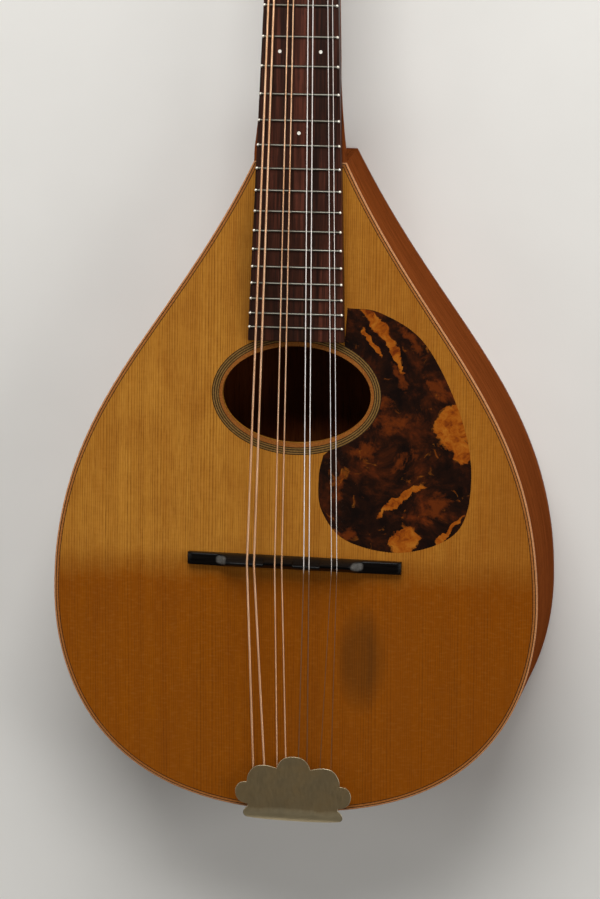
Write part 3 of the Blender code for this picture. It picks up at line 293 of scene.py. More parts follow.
# Wide enough for the string to stay clear while the knob turns half round
POST_HOLE_RADIUS = 1.15 * MM
POST_BORE = 3.3 * MM
POST_BORE_SIDES = 32
POST_SHOULDER_Z = 1 * MM - HEAD_THICKNESS
POST_FOOT = 1.2 * MM
GEAR_SHAFT_RADIUS = 2.2 * MM
GEAR_SCREW_SIZE = (GEAR_SHAFT_RADIUS, POST_FOOT, 0.5 * MM)
PLATE_BACK_Z = -13.8 * MM
GEAR_TEETH = 14
GEAR_PITCH_RADIUS = 3.68 * MM
GEAR_TIP_RADIUS = 4.0 * MM
GEAR_ROOT_RADIUS = 3.05 * MM
TOOTH_ROOT_HALF = 0.43 * MM
TOOTH_TIP_HALF = 0.17 * MM
GEAR_FACE = 2.6 * MM
GEAR_Z = PLATE_BACK_Z - 2.6 * MM
WORM_PITCH = 2 * math.pi * GEAR_PITCH_RADIUS / GEAR_TEETH
WORM_PITCH_RADIUS = 1.75 * MM
WORM_OUTER_RADIUS = 2.2 * MM
WORM_CORE_RADIUS = 1.25 * MM
WORM_LENGTH = 6.4 * MM
THREAD_ROOT_HALF = 0.34
THREAD_CREST_HALF = 0.08
WORM_SIDES = 32
WORM_SHAFT_RADIUS = 1.1 * MM
SHAFT_INNER_END = 6 * MM
SHAFT_OUTER_END = 18 * MM
BUTTON_START = 13.5 * MM
BUTTON_LENGTH = 12 * MM
BUTTON_OVAL_LENGTH = 9 * MM
BUTTON_RADIUS = 6.6 * MM
BUTTON_FLATNESS = 0.55
BUTTON_FULLNESS = 0.8
BUTTON_ARC_STEPS = 24
BUTTON_BORE_RADIUS = 1.35 * MM
BUTTON_BORE_DEPTH = 3 * MM
# The button's collar: radius and distance from the button's top in mm
BUTTON_COLLAR = ((3.05, 8.75), (2.6, 9.1), (2.45, 9.6), (2.4, 11.2), (2.3, 11.8), (2.05, 12.0))
# The ring round each post on the headstock's face: radius and height in mm
BUSHING_PROFILE = ((3.25, 0.0), (4.6, 0.0), (4.6, 0.35), (4.35, 0.6), (3.9, 0.7), (3.4, 0.7), (3.25, 0.6))
BUSHING_SIDES = 48
PLATE_SCREW_Y = 13 * MM

# Floor, camera and light; the sensor's width is in mm
FLOOR_SIZE = 4.0
SENSOR_WIDTH = 36
CAMERA_REACH = 20
PHOTO_LONG_SIDE = 899
CAMERA_FOCUS = 4442
CAMERA_TARGET = Vector((0, 0, 70)) * MM
CAMERA_OFFSET = Vector((-2.8, -48.6, -2000)) * MM
CAMERA_YAW = math.radians(9.28)
CAMERA_PITCH = math.radians(-10.68)
CAMERA_ROLL = math.radians(0.16)
# Each lamp: name, place, target, size in metres and watts
LAMPS = (
    ("key_light", (0.0, 1.45, 1.1), (0, 0.1, 0.05), (1.3, 1.1), 37),
    ("right_light", (1.5, 0.05, 0.95), (0, 0.05, 0.05), (0.8, 1.5), 14),
    ("left_light", (-1.5, 0.15, 1.0), (0, 0.05, 0.05), (0.7, 1.3), 6),
)
SURROUND_COLOUR = (1.0, 0.97, 0.92, 1)
SURROUND_STRENGTH = 0.11

# The frames of the neck and the headstock, and the turns that several pieces share
MOVED = Matrix.Translation
NECK = MOVED((0, 0, BODY_DEPTH)) @ Matrix.Rotation(-NECK_PITCH, 4, "X")
HEAD_IN_NECK = MOVED(HEAD_ORIGIN) @ Matrix.Rotation(-HEAD_ANGLE, 4, "X")
HEAD = NECK @ HEAD_IN_NECK
HERE = Matrix.Identity(4)
ALONG_X = Matrix.Rotation(math.pi / 2, 4, "Y")
FACING_TAIL = Matrix.Rotation(math.pi / 2, 4, "X")


# Meshes

def polar(radius, angle):
    """The point in the plane at a distance and an angle from the origin."""
    return Vector((radius * math.cos(angle), radius * math.sin(angle)))


def facing_out(bm):
    bmesh.ops.recalc_face_normals(bm, faces=bm.faces)


def edit_mesh(mesh, *changes):
    """Runs each change on the mesh's own bmesh."""
    bm = bmesh.new()
    bm.from_mesh(mesh)
    for change in changes:
        change(bm)
    bm.to_mesh(mesh)
    bm.free()
    return mesh


def mesh_from(name, build):
    """A new mesh as build makes it, with its faces pointing out."""
    return edit_mesh(bpy.data.meshes.new(name), build, facing_out)


def joined(name, meshes):
    """Several meshes as one, without changing any of them."""
    return edit_mesh(bpy.data.meshes.new(name), *[lambda bm, m=mesh: bm.from_mesh(m) for mesh in meshes])


def baked(obj):
    """The object's evaluated shape as a mesh of its own, with its seams welded; the object goes."""
    bpy.context.view_layer.update()
    shape = obj.evaluated_get(bpy.context.evaluated_depsgraph_get())
    mesh = bpy.data.meshes.new_from_object(shape)
    bpy.data.objects.remove(obj, do_unlink=True)
    return edit_mesh(mesh, lambda bm: bmesh.ops.remove_doubles(bm, verts=bm.verts, dist=WELD))


def linked(name, data):
    obj = bpy.data.objects.new(name, data)
    bpy.context.scene.collection.objects.link(obj)
    return obj


def curve_mesh(name, lines, cyclic, **settings):
    """The mesh of a curve object with the given lines and settings."""
    curve = bpy.data.curves.new(name, "CURVE")
    for key, value in settings.items():
        setattr(curve, key, value)
    for line in lines:
        spline = curve.splines.new("POLY")
        spline.points.add(len(line) - 1)
        spline.use_cyclic_u = cyclic
        for point, place in zip(spline.points, line):
            point.co = (*place.to_3d(), 1)
    return baked(linked(name, curve))


def plate_mesh(name, outlines, low, high):
    """A flat plate between two heights; each outline after the first is a hole."""
    mesh = curve_mesh(name, outlines, True, dimensions="2D", fill_mode="BOTH", extrude=(high - low) / 2)
    mesh.transform(MOVED((0, 0, (low + high) / 2)))
    mesh.name = name
    return edit_mesh(mesh, facing_out)


def box_mesh(name, low, high):
    size = Vector(high) - Vector(low)
    place = MOVED((Vector(low) + Vector(high)) / 2) @ Matrix.Diagonal((*size, 1))
    return mesh_from(name, lambda bm: bmesh.ops.create_cube(bm, size=1, matrix=place))


def rod_mesh(name, places, radius, length, sides, turn=HERE):
    """Equal cylinders along Z, or along the turned axis, centred on the given places."""
    def build(bm):
        for place in places:
            bmesh.ops.create_cone(bm, cap_ends=True, segments=sides, radius1=radius, radius2=radius,
                                  depth=length, matrix=MOVED(place) @ turn)

    return mesh_from(name, build)


def loft_mesh(name, rings, closed=True):
    """Faces between neighbouring rings of points, with a cap at each end, or a ring joined to itself."""
    def build(bm):
        rows = [[bm.verts.new(point) for point in ring] for ring in rings]
        pairs = list(zip(rows, rows[1:]))
        if not closed:
            pairs.append((rows[-1], rows[0]))
        for a, b in pairs:
            for i in range(len(a)):
                j = (i + 1) % len(a)
                bm.faces.new((a[i], a[j], b[j], b[i]))
        if closed:
            bm.faces.new(rows[0])
            bm.faces.new(rows[-1])

    return mesh_from(name, build)


def turned_mesh(name, profile, sides):
    """A profile of radius and height turned about Z; it starts and ends on the axis."""
    def build(bm):
        rings = []
        for radius, z in profile:
            count = sides if radius > 0 else 1
            rings.append([bm.verts.new((*polar(radius, 2 * math.pi * i / sides), z)) for i in range(count)])
        for a, b in zip(rings, rings[1:]):
            for i in range(sides):
                j = (i + 1) % sides
                corners = [a[i % len(a)], a[j % len(a)], b[j % len(b)], b[i % len(b)]]
                bm.faces.new(list(dict.fromkeys(corners)))

    return mesh_from(name, build)


def combined(mesh, tool, operation):
    """The mesh after a tool mesh is joined to it or cut out of it."""
    target = linked("target", mesh)
    cutter = linked("cutter", tool)
    boolean = target.modifiers.new("boolean", "BOOLEAN")
    boolean.operation = operation
    boolean.object = cutter
    result = baked(target)
    bpy.data.objects.remove(cutter, do_unlink=True)
    return result


def bevelled(mesh, width, segments=2, angle=35):
    """The mesh with its sharp edges rounded."""
    obj = linked("bevelled", mesh)
    bevel = obj.modifiers.new("bevel", "BEVEL")
    bevel.width = width
    bevel.segments = segments
    bevel.limit_method = "ANGLE"
    bevel.angle_limit = math.radians(angle)
    bevel.use_clamp_overlap = True
    return baked(obj)


def node_mesh(node):
    """A welded copy of a CAD node's mesh, its flat faces made whole again."""
    def tidy(bm):
        bmesh.ops.remove_doubles(bm, verts=bm.verts, dist=0.01 * MM)
        bmesh.ops.dissolve_limit(bm, angle_limit=math.radians(1), verts=bm.verts, edges=bm.edges)

    return edit_mesh(NODES[node].data.copy(), tidy)


def piece(name, mesh, look, place=HERE, body="instrument", replaces=(), sharp=38):
    """Puts a mesh into the scene as one piece with its look, its body and the nodes it stands for."""
    material, slot = look
    obj = linked(name, mesh)
    obj.matrix_world = place
    mesh.shade_smooth()
    mesh.set_sharp_from_angle(angle=math.radians(sharp))
    mesh.materials.clear()
    mesh.materials.append(material)
    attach(obj, body)
    if replaces:
        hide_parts(*replaces)


# Materials

def rgb(red, green, blue):
    """A colour written as screen values from 0 to 255, as the linear values that nodes use."""
    def linear(value):
        share = value / 255
        return share / 12.92 if share <= 0.04045 else ((share + 0.055) / 1.055) ** 2.4

    return (linear(red), linear(green), linear(blue), 1.0)


class Look:
    """A procedural material: a Principled shader and the texture nodes that feed it."""

    def __init__(self, name, frame=None, **sockets):
        self.frame = frame
        self.material = bpy.data.materials.new(name)
        self.material.use_nodes = True
        self.tree = self.material.node_tree
        self.shader = self.tree.nodes["Principled BSDF"]
        for key, value in sockets.items():
            self.feed(self.shader.inputs[key.replace("_", " ")], value)

    def feed(self, socket, value):
        if isinstance(value, bpy.types.NodeSocket):
            self.tree.links.new(value, socket)
        else:
            socket.default_value = value

    def node(self, kind, inputs=(), **settings):
        """Adds a node; inputs are pairs of a socket's name or number and its value or source."""
        made = self.tree.nodes.new("ShaderNode" + kind)
        for key, value in settings.items():
            setattr(made, key, value)
        for key, value in inputs:
            self.feed(made.inputs[key], value)
        return made

    def space(self, x, y, z, turn=0.0):
        """The piece's coordinates, or those in the look's frame, in millimetres and each times a factor."""
        source = self.node("TexCoord").outputs["Object"]
        if self.frame is not None:
            inputs = [("Vector", source), ("Location", self.frame.translation),
                      ("Rotation", self.frame.to_euler())]
            source = self.node("Mapping", inputs, vector_type="TEXTURE").outputs[0]
        scale = (x / MM, y / MM, z / MM)
        mapping = self.node("Mapping", [("Vector", source), ("Scale", scale), ("Rotation", (0, 0, turn))])
        return mapping.outputs[0]

    def axes(self):
        """The three coordinates in millimetres, each on its own."""
        return self.node("SeparateXYZ", [(0, self.space(1, 1, 1))]).outputs

    def vector(self, x, y, z=0.0):
        return self.node("CombineXYZ", [(0, x), (1, y), (2, z)]).outputs[0]

    def math(self, operation, a, b=0.0):
        return self.node("Math", [(0, a), (1, b)], operation=operation).outputs[0]

    def plus(self, a, b):
        return self.math("ADD", a, b)

    def times(self, a, b):
        return self.math("MULTIPLY", a, b)

    def reach(self, value, centre, radius):
        """Distance from a centre, as a share of the radius."""
        return self.math("DIVIDE", self.math("SUBTRACT", value, centre), radius)

    def noise(self, place, scale=1.0, detail=3.0, roughness=0.5, distortion=0.0):
        made = self.node("TexNoise", [("Vector", place), ("Scale", scale), ("Detail", detail),
                                      ("Roughness", roughness), ("Distortion", distortion)])
        return made.outputs[0]

    def grain(self, x, y, z, detail=3.0, roughness=0.5):
        """Noise stretched by a factor along each axis; the factors are per millimetre."""
        return self.noise(self.space(x, y, z), detail=detail, roughness=roughness)

    def levels(self, value, low=0.3, high=0.7, to_low=0.0, to_high=1.0):
        """Spreads the part of a value between low and high over a new range."""
        made = self.node("MapRange", [("Value", value), ("From Min", low), ("From Max", high),
                                      ("To Min", to_low), ("To Max", to_high)])
        return made.outputs[0]

    def ramp(self, value, *stops):
        """A colour ramp; each stop is a place and a colour."""
        made = self.node("ValToRGB", [(0, value)])
        elements = made.color_ramp.elements
        while len(elements) < len(stops):
            elements.new(0.5)
        for element, (place, colour) in zip(elements, stops):
            element.position = place
            element.color = colour
        return made.outputs[0]

    def mix(self, share, a, b):
        return self.node("Mix", [(0, share), (6, a), (7, b)], data_type="RGBA").outputs[2]

    def tint(self, colour, *layers):
        """Lays further colours over a colour, each by its share."""
        for share, over in layers:
            colour = self.mix(share, colour, over)
        return colour

    def bump(self, height, distance, strength=1.0):
        """Lays a height in millimetres times distance on the surface; calls add up."""
        normal = self.shader.inputs["Normal"]
        made = self.node("Bump", [("Height", height), ("Distance", distance * MM), ("Strength", strength)])
        if normal.is_linked:
            self.feed(made.inputs["Normal"], normal.links[0].from_socket)
        self.feed(normal, made.outputs[0])

    def finish(self, colour, roughness, slot):
        """Connects colour and roughness and pairs the material with the record's slot."""
        self.feed(self.shader.inputs["Base Color"], colour)
        self.feed(self.shader.inputs["Roughness"], roughness)
        return self.material, slot


# Darker places on the top, a darker patch below the bridge on the treble side and a painted shadow beside
# the fingerboard's bass edge: centre and radii in mm, and strength
DARK_PATCH_AND_BOARD_SHADOW = (((31, -46), (10, 22), 0.62), ((-23, 130), (5, 32), 0.3))
# Distance between the dark lines of the grain, in mm
RING_SPACING = 1.1


def spruce():
    """Bookmatched straight grain with silk across it, darker toward the tail: the facet before the bend is
    painted lighter as a painted sheen. The treble side is painted darker as painted shade; there is a darker
    patch below the bridge and a painted shadow beside the fingerboard.
    """
    look = Look("spruce", Specular_IOR_Level=0.3, Specular_Tint=rgb(255, 205, 130))
    x, y, _ = look.axes()
    mirrored = look.math("ABSOLUTE", x)
    drift = look.noise(look.vector(look.times(mirrored, 0.05), look.times(y, 0.0015)), detail=2)
    across = look.plus(mirrored, look.times(drift, 9))
    ring = look.math("FRACT", look.math("DIVIDE", across, RING_SPACING))
    late = look.ramp(ring, (0.0, (0, 0, 0, 1)), (0.45, (0.1, 0.1, 0.1, 1)), (0.82, (1, 1, 1, 1)),
                     (1.0, (0, 0, 0, 1)))
    strength = look.grain(0.32, 0.006, 0.1, 4, 0.6)
    breaks = look.grain(1.1, 0.14, 0.3, 3, 0.6)
    late = look.times(late, look.levels(strength, 0.32, 0.66, 0.3, 1.0))
    late = look.times(late, look.levels(breaks, 0.34, 0.6, 0.5, 1.0))
    fleck = look.grain(2.2, 0.11, 1.0, 4, 0.7)
    fibre = look.grain(5.0, 0.09, 1.0, 4, 0.65)
    silk = look.grain(0.28, 1.1, 0.2)
    blotch = look.grain(0.018, 0.011, 0.01, 4)
    patches = look.grain(0.08, 0.05, 0.05, 4, 0.6)
    bands = look.noise(look.vector(look.times(x, 0.16), look.times(y, 0.002)), detail=4, roughness=0.65)
    # painted sheen: the facet before the bend is painted lighter and yellower than the facet behind it
    upper = look.mix(look.levels(fibre), rgb(161, 106, 33), rgb(182, 128, 49))
    lower = look.mix(look.levels(fibre), rgb(124, 62, 2), rgb(142, 78, 7))
    bend = look.plus(y, look.levels(patches, 0.3, 0.7, -4, 4))
    colour = look.tint(look.mix(look.levels(bend, -12, 3), lower, upper),
                       (look.levels(bands, 0.4, 0.7, 0.0, 0.36), rgb(112, 54, 7)),
                       (look.levels(patches, 0.45, 0.75, 0.0, 0.3), rgb(114, 56, 8)),
                       # painted shade: the treble side is painted darker and more orange, as the light falls
                       # off across the top
                       (look.levels(x, -20, 110, 0.1, 0.55), rgb(122, 58, 0)),
                       (look.times(late, 0.85), rgb(84, 40, 4)),
                       (look.levels(fleck, 0.5, 0.72, 0.0, 0.4), rgb(104, 54, 10)),
                       (look.levels(silk, 0.5, 0.75, 0.0, 0.12), rgb(180, 120, 54)),
                       (look.levels(silk, 0.48, 0.25, 0.0, 0.1), rgb(110, 56, 10)),
                       (look.levels(blotch, 0.45, 0.75, 0.0, 0.3), rgb(116, 62, 14)))
    # a darker patch below the bridge, and the fingerboard's painted shadow on the top beside its bass edge
    for centre, radii, share in DARK_PATCH_AND_BOARD_SHADOW:
        reach_x, reach_y = [look.reach(value, c, r) for value, c, r in zip((x, y), centre, radii)]
        reach = look.plus(look.times(reach_x, reach_x), look.times(reach_y, reach_y))
        patch_and_shadow = look.times(look.levels(reach, 0.3, 1.5, share, 0.0), look.levels(bands, 0.3, 0.6, 0.6, 1.0))
        colour = look.mix(patch_and_shadow, colour, rgb(62, 36, 12))
    look.bump(look.plus(look.times(late, 0.6), fibre), 0.02, 0.35)
    return look.finish(colour, look.levels(fibre, 0.3, 0.7, 0.38, 0.5), "spruce_top")


def mahogany(name, across, gloss, shaded_inside_z=None, frame=None):
    """Reddish brown with a slow stripe and fine dark pores; the factors stretch it along the grain.

    A face at the given inside height and above it, the inside of the body, is painted nearly black as
    painted shade.
    """
    look = Look(name, frame, Specular_IOR_Level=gloss, Specular_Tint=rgb(255, 190, 140))
    stripe = look.grain(*[0.05 * a for a in across], 3, 0.6)
    streak = look.grain(*[1.1 * a for a in across], 4, 0.6)
    pores = look.grain(*[4.5 * a for a in across], 2)
    colour = look.mix(look.levels(streak), rgb(100, 48, 18), rgb(126, 65, 28))
    colour = look.mix(look.levels(stripe, 0.35, 0.7, 0.0, 0.55), colour, rgb(76, 33, 12))
    dark = look.levels(pores, 0.58, 0.68, 0.0, 0.6)
    colour = look.mix(dark, colour, rgb(50, 22, 10))
    # painted shade: the inside of the body is painted nearly black
    if shaded_inside_z is not None:
        _, _, z = look.axes()
        edge = shaded_inside_z / MM
        colour = look.mix(look.levels(z, edge - 0.1, edge - 0.05), colour, rgb(8, 5, 4))
    look.bump(look.math("SUBTRACT", 1.0, dark), 0.03, 0.4)
    return look.finish(colour, look.levels(streak, 0.3, 0.7, 0.34, 0.48), "mahogany")


def bare_wood():
    look = Look("bare_wood")
    streak = look.grain(1.2, 0.04, 0.8, 4, 0.6)
    colour = look.mix(look.levels(streak), rgb(150, 112, 70), rgb(178, 140, 94))
    look.bump(streak, 0.05, 0.5)
    return look.finish(colour, 0.75, "bare_wood")


def rosewood():
    """Dark red-brown with long streaks from purple-brown to nearly black, and open pores."""
    look = Look("rosewood", Specular_IOR_Level=0.14)
    broad = look.grain(0.16, 0.004, 0.1, 3, 0.6)
    streak = look.grain(0.75, 0.02, 0.4, 4, 0.65)
    pores = look.grain(5.0, 0.22, 3.0, 2)
    colour = look.ramp(look.times(look.plus(broad, streak), 0.5), (0.38, rgb(20, 10, 6)),
                       (0.47, rgb(34, 17, 10)), (0.54, rgb(54, 26, 16)), (0.64, rgb(84, 42, 29)))
    dark = look.levels(pores, 0.58, 0.68, 0.0, 0.7)
    colour = look.mix(dark, colour, rgb(22, 11, 9))
    look.bump(look.math("SUBTRACT", 1.0, dark), 0.04, 0.5)
    return look.finish(colour, look.levels(streak, 0.3, 0.7, 0.36, 0.5), "rosewood")


# Painted highlights on the bridge's ramps, a dull grey where they catch the light: centres and radii in mm
RAMP_HIGHLIGHTS = ((-32.4, -1.4), (29.6, -2.2))
RAMP_HIGHLIGHT_RADII = (2.7, 2.0)


def ebony():
    look = Look("ebony", Specular_IOR_Level=0.1)
    streak = look.grain(0.05, 1.6, 1.6, 4, 0.6)
    colour = look.mix(look.levels(streak, 0.35, 0.7), rgb(3, 2, 2), rgb(11, 8, 6))
    x, y, _ = look.axes()
    # painted highlight on each ramp
    for centre_x, centre_y in RAMP_HIGHLIGHTS:
        shares = (look.reach(x, centre_x, RAMP_HIGHLIGHT_RADII[0]), look.reach(y, centre_y, RAMP_HIGHLIGHT_RADII[1]))
        reach = look.plus(*[look.math("POWER", look.math("ABSOLUTE", share), 3.0) for share in shares])
        share = look.times(look.levels(reach, 0.2, 1.1, 1.0, 0.0), look.levels(streak, 0.3, 0.7, 0.5, 1.0))
        colour = look.mix(share, colour, rgb(90, 87, 82))
    look.bump(streak, 0.05, 0.35)
    return look.finish(colour, look.levels(streak, 0.3, 0.7, 0.24, 0.38), "ebony")


def tortoise():
    """Mottled celluloid: black-brown with red-brown clouds and a few torn amber patches."""
    look = Look("tortoise_celluloid", Specular_IOR_Level=0.16)
    own = look.space(1, 1, 1)
    flow = warped(look, own, 0.03, 26)
    clouds = look.noise(flow, scale=0.06, detail=6, roughness=0.62)
    wisps = look.noise(flow, scale=0.13, detail=5, roughness=0.6, distortion=1.2)
    mottle = look.noise(flow, scale=0.22, detail=6, roughness=0.7)
    blend = look.plus(look.times(clouds, 0.65), look.times(mottle, 0.35))
    colour = look.ramp(blend, (0.4, rgb(14, 6, 4)), (0.49, rgb(27, 11, 5)), (0.56, rgb(50, 20, 6)),
                       (0.63, rgb(74, 29, 8)), (0.74, rgb(104, 46, 11)))
    place = warped(look, warped(look, own, 0.09, 9), 0.4, 3)
    torn = look.noise(place, scale=0.22, detail=6, roughness=0.7)
    amber = look.ramp(torn, (0.34, rgb(92, 36, 6)), (0.47, rgb(134, 66, 10)), (0.68, rgb(156, 94, 26)))
    ragged = look.levels(torn, 0.2, 0.8, -0.35, 0.35)
    dull = look.plus(nearest_patch(look, place, DULL_PATCHES), look.levels(mottle, 0.3, 0.7, 0.9, -0.5))
    bright = look.plus(nearest_patch(look, place, AMBER_PATCHES), ragged)
    colour = look.tint(colour, (look.levels(dull, 0.6, 1.3, 0.85, 0.0), rgb(88, 37, 8)),
                       (look.levels(wisps, 0.62, 0.7, 0.0, 0.5), amber),
                       (look.levels(bright, 0.92, 1.06, 1.0, 0.0), amber))
    return look.finish(colour, 0.24, "tortoise_celluloid")


# Patches of the pickguard: centre, half length and half width in mm, turn in degrees
AMBER_PATCHES = (
    ((72, 61), 11, 9.5, 76), ((74.5, 49), 6, 4, 90), ((36, 105), 11, 2.2, -42), ((43, 95), 13, 1.4, -60),
    ((34, 98), 8, 1.0, -50), ((48, 27.5), 14, 1.6, 39), ((50, 9), 7, 5, 20), ((70, 14), 9, 1.2, 48),
)
DULL_PATCHES = (
    ((39.5, 70), 5, 2.6, 10), ((49, 46), 6, 2.8, 40), ((31, 50), 3.6, 5.5, 70), ((47.5, 83), 6, 2, -66),
    ((51, 100), 9, 2.4, -52), ((44, 62), 10, 4, 5), ((64, 25), 7, 5, 40), ((20, 34), 5, 2.4, 80),
    ((24, 11.5), 6, 3, 10), ((63, 78), 6, 3, -60),
)
# A distance beyond every patch, and a half height so large that height plays no part
NO_PATCH = 9.0
PATCH_HALF_HEIGHT = 1000


def warped(look, place, scale, reach):
    """The place moved about by a noise of the given scale, by up to about half the reach in mm."""
    result = look.node("TexNoise", [("Vector", place), ("Scale", scale), ("Detail", 2.0)]).outputs[1]
    for operation, other in (("SUBTRACT", (0.5, 0.5, 0.5)), ("MULTIPLY", (reach, reach, 0)), ("ADD", place)):
        result = look.node("VectorMath", [(0, result), (1, other)], operation=operation).outputs[0]
    return result


def nearest_patch(look, place, patches):
    """Distance from the centre of the nearest oval patch, where 1 is on its edge."""
    nearest = NO_PATCH
    for (x, y), half_length, half_width, degrees in patches:
        own = look.node("Mapping", [("Vector", place), ("Location", (x, y, 0)),
                                    ("Rotation", (0, 0, math.radians(degrees))),
                                    ("Scale", (half_length, half_width, PATCH_HALF_HEIGHT))],
                        vector_type="TEXTURE")
        reach = look.node("VectorMath", [(0, own.outputs[0])], operation="LENGTH").outputs["Value"]
        nearest = look.math("MINIMUM", reach, nearest)
    return nearest


def strip_wood(name, dark, light):
    """Thin inlaid wood lines with a fine streak."""
    look = Look(name, Specular_IOR_Level=0.08)
    streak = look.grain(1.4, 1.4, 1.4, 4, 0.6)
    colour = look.mix(look.levels(streak, 0.35, 0.65), dark, light)
    return look.finish(colour, 0.42, "purfling")


def worn_metal(name, bright, dull, roughness, scratch=0.5, highlight_below_y=None, slot="nickel"):
    """Old plated metal with dull patches, fine scratches and uneven gloss; below the given y it is painted
    bright as a painted highlight.
    """
    look = Look(name, Metallic=1.0)
    patches = look.grain(0.09, 0.09, 0.09, 5, 0.6)
    scratches = look.noise(look.space(1.6, 0.25, 1.6, turn=0.5), detail=5, roughness=0.7)
    colour = look.mix(look.levels(patches, 0.35, 0.7), rgb(*bright), rgb(*dull))
    # painted highlight below the given y, where the cover bends down
    if highlight_below_y is not None:
        _, y, _ = look.axes()
        bend_highlight = look.plus(y, look.levels(patches, 0.3, 0.7, -1.0, 1.0))
        colour = look.mix(look.levels(bend_highlight, highlight_below_y, highlight_below_y - 2.5, 0.0, 0.7), colour, rgb(236, 218, 176))
    look.bump(scratches, 0.02, scratch)
    gloss = look.plus(look.levels(patches, 0.3, 0.7, 0.0, 0.14),
                      look.levels(scratches, 0.3, 0.7, roughness, roughness + 0.1))
    return look.finish(colour, gloss, slot)


def steel_wire():
    """Bright above the bridge, with fine tarnish; behind the bridge it is painted brown as painted shade."""
    look = Look("steel_wire", Metallic=0.6)
    tarnish = look.grain(0.4, 0.05, 0.4)
    colour = look.mix(look.levels(tarnish, 0.4, 0.7), rgb(244, 236, 230), rgb(224, 214, 206))
    _, y, _ = look.axes()
    # painted shade: the wire behind the bridge is painted brown
    colour = look.mix(look.levels(y, -1, -6), colour, rgb(118, 84, 56))
    return look.finish(colour, look.levels(tarnish, 0.3, 0.7, 0.3, 0.38), "steel")


def bronze_winding():
    """Bronze wire wound round a core: fine ribs across the string, with painted shade in the grooves between
    them.
    """
    look = Look("bronze_winding", Metallic=0.75)
    ribs = look.node("TexWave", [("Vector", look.space(0, 1, 0)), ("Scale", 0.9)],
                     bands_direction="Y").outputs[1]
    tarnish = look.grain(0.4, 0.05, 0.4)
    colour = look.mix(look.levels(tarnish, 0.35, 0.7), rgb(238, 192, 152), rgb(214, 160, 116))
    # painted shade in the grooves between the turns
    colour = look.mix(look.levels(ribs, 0.0, 0.4, 0.3, 0.0), colour, rgb(140, 92, 58))
    look.bump(ribs, 0.08, 0.6)
    return look.finish(colour, 0.34, "bronze_wound")


def bone():
    look = Look("bone", Subsurface_Weight=0.08)
    streak = look.grain(0.1, 0.6, 1.2, 5, 0.6)
    colour = look.mix(look.levels(streak), rgb(214, 200, 166), rgb(228, 218, 192))
    look.bump(streak, 0.02, 0.4)
    return look.finish(colour, look.levels(streak, 0.3, 0.7, 0.3, 0.42), "bone")


def ivoroid():
    """Aged celluloid with a faint grain along the button."""
    look = Look("ivoroid", Subsurface_Weight=0.1, Coat_Weight=0.3, Coat_Roughness=0.1)
    layers = look.grain(0.12, 1.1, 0.5)
    age = look.grain(0.12, 0.12, 0.12)
    colour = look.mix(look.levels(layers, 0.35, 0.65), rgb(216, 196, 150), rgb(228, 212, 172))
    colour = look.mix(look.levels(age, 0.4, 0.75, 0.0, 0.35), colour, rgb(190, 158, 104))
    return look.finish(colour, 0.26, "ivoroid")


def shell():
    """Small pearl dots."""
    look = Look("pearl", Coat_Weight=0.4, Coat_Roughness=0.08)
    waves = look.noise(look.space(1.1, 0.6, 0.5), detail=3, distortion=0.6)
    colour = look.ramp(waves, (0.35, rgb(206, 200, 186)), (0.5, rgb(232, 228, 216)),
                       (0.65, rgb(198, 204, 196)))
    return look.finish(colour, 0.25, "ivoroid")


def floor_look():
    look = Look("floor")
    speckle = look.grain(0.02, 0.02, 0.02, 4)
    colour = look.mix(look.levels(speckle), rgb(214, 212, 207), rgb(217, 215, 210))
    return look.finish(colour, 0.7, "floor")


SPRUCE = spruce()
GRAIN_ALONG = (0.6, 0.03, 0.6)
MAHOGANY_ALONG = mahogany("mahogany", GRAIN_ALONG, 0.0)
MAHOGANY_NECK = mahogany("mahogany_neck", GRAIN_ALONG, 0.0, frame=NECK)
MAHOGANY_BACK = mahogany("mahogany_back", GRAIN_ALONG, 0.1, BACK_THICKNESS)
MAHOGANY_RIBS = mahogany("mahogany_ribs", (0.03, 0.03, 0.6), 0.0)
BARE_WOOD = bare_wood()
ROSEWOOD = rosewood()
EBONY = ebony()
TORTOISE = tortoise()
# Dark and light shade of each kind of inlaid line
LINE_SHADES = {
    # the rounded corner of the top's edge, painted light as a painted highlight
    "light": ((158, 104, 62), (184, 130, 86)),
    "tan": ((128, 74, 30), (152, 96, 46)),
    "olive": ((92, 68, 33), (120, 90, 47)),
    "band": ((112, 62, 22), (136, 84, 34)),
    "brown": ((38, 21, 10), (62, 36, 18)),
    "dark": ((20, 11, 6), (42, 24, 12)),
}
LINE_LOOKS = {kind: strip_wood("line_" + kind, *[rgb(*shade) for shade in shades])
              for kind, shades in LINE_SHADES.items()}
NICKEL = worn_metal("aged_nickel", (176, 168, 148), (152, 142, 118), 0.3)
# the cover's bent front carries a painted highlight
COVER_NICKEL = worn_metal("cover_nickel", (168, 148, 112), (146, 124, 88), 0.34, 0.8, highlight_below_y=-115)
RIM_NICKEL = worn_metal("rim_nickel", (188, 176, 148), (128, 114, 86), 0.36)
FRET_METAL = worn_metal("fret_metal", (138, 137, 126), (116, 112, 100), 0.32)
# the fret wires' own metal, painted brighter on their ends as a highlight
FRET_END_HIGHLIGHT = worn_metal("fret_end_highlight", (242, 238, 226), (228, 222, 206), 0.42, 0.2)
STEEL = worn_metal("worm_steel", (190, 186, 178), (160, 152, 138), 0.26, slot="steel")
STEEL_WIRE = steel_wire()
BRONZE = bronze_winding()
BONE = bone()
IVOROID = ivoroid()
PEARL = shell()


# Body

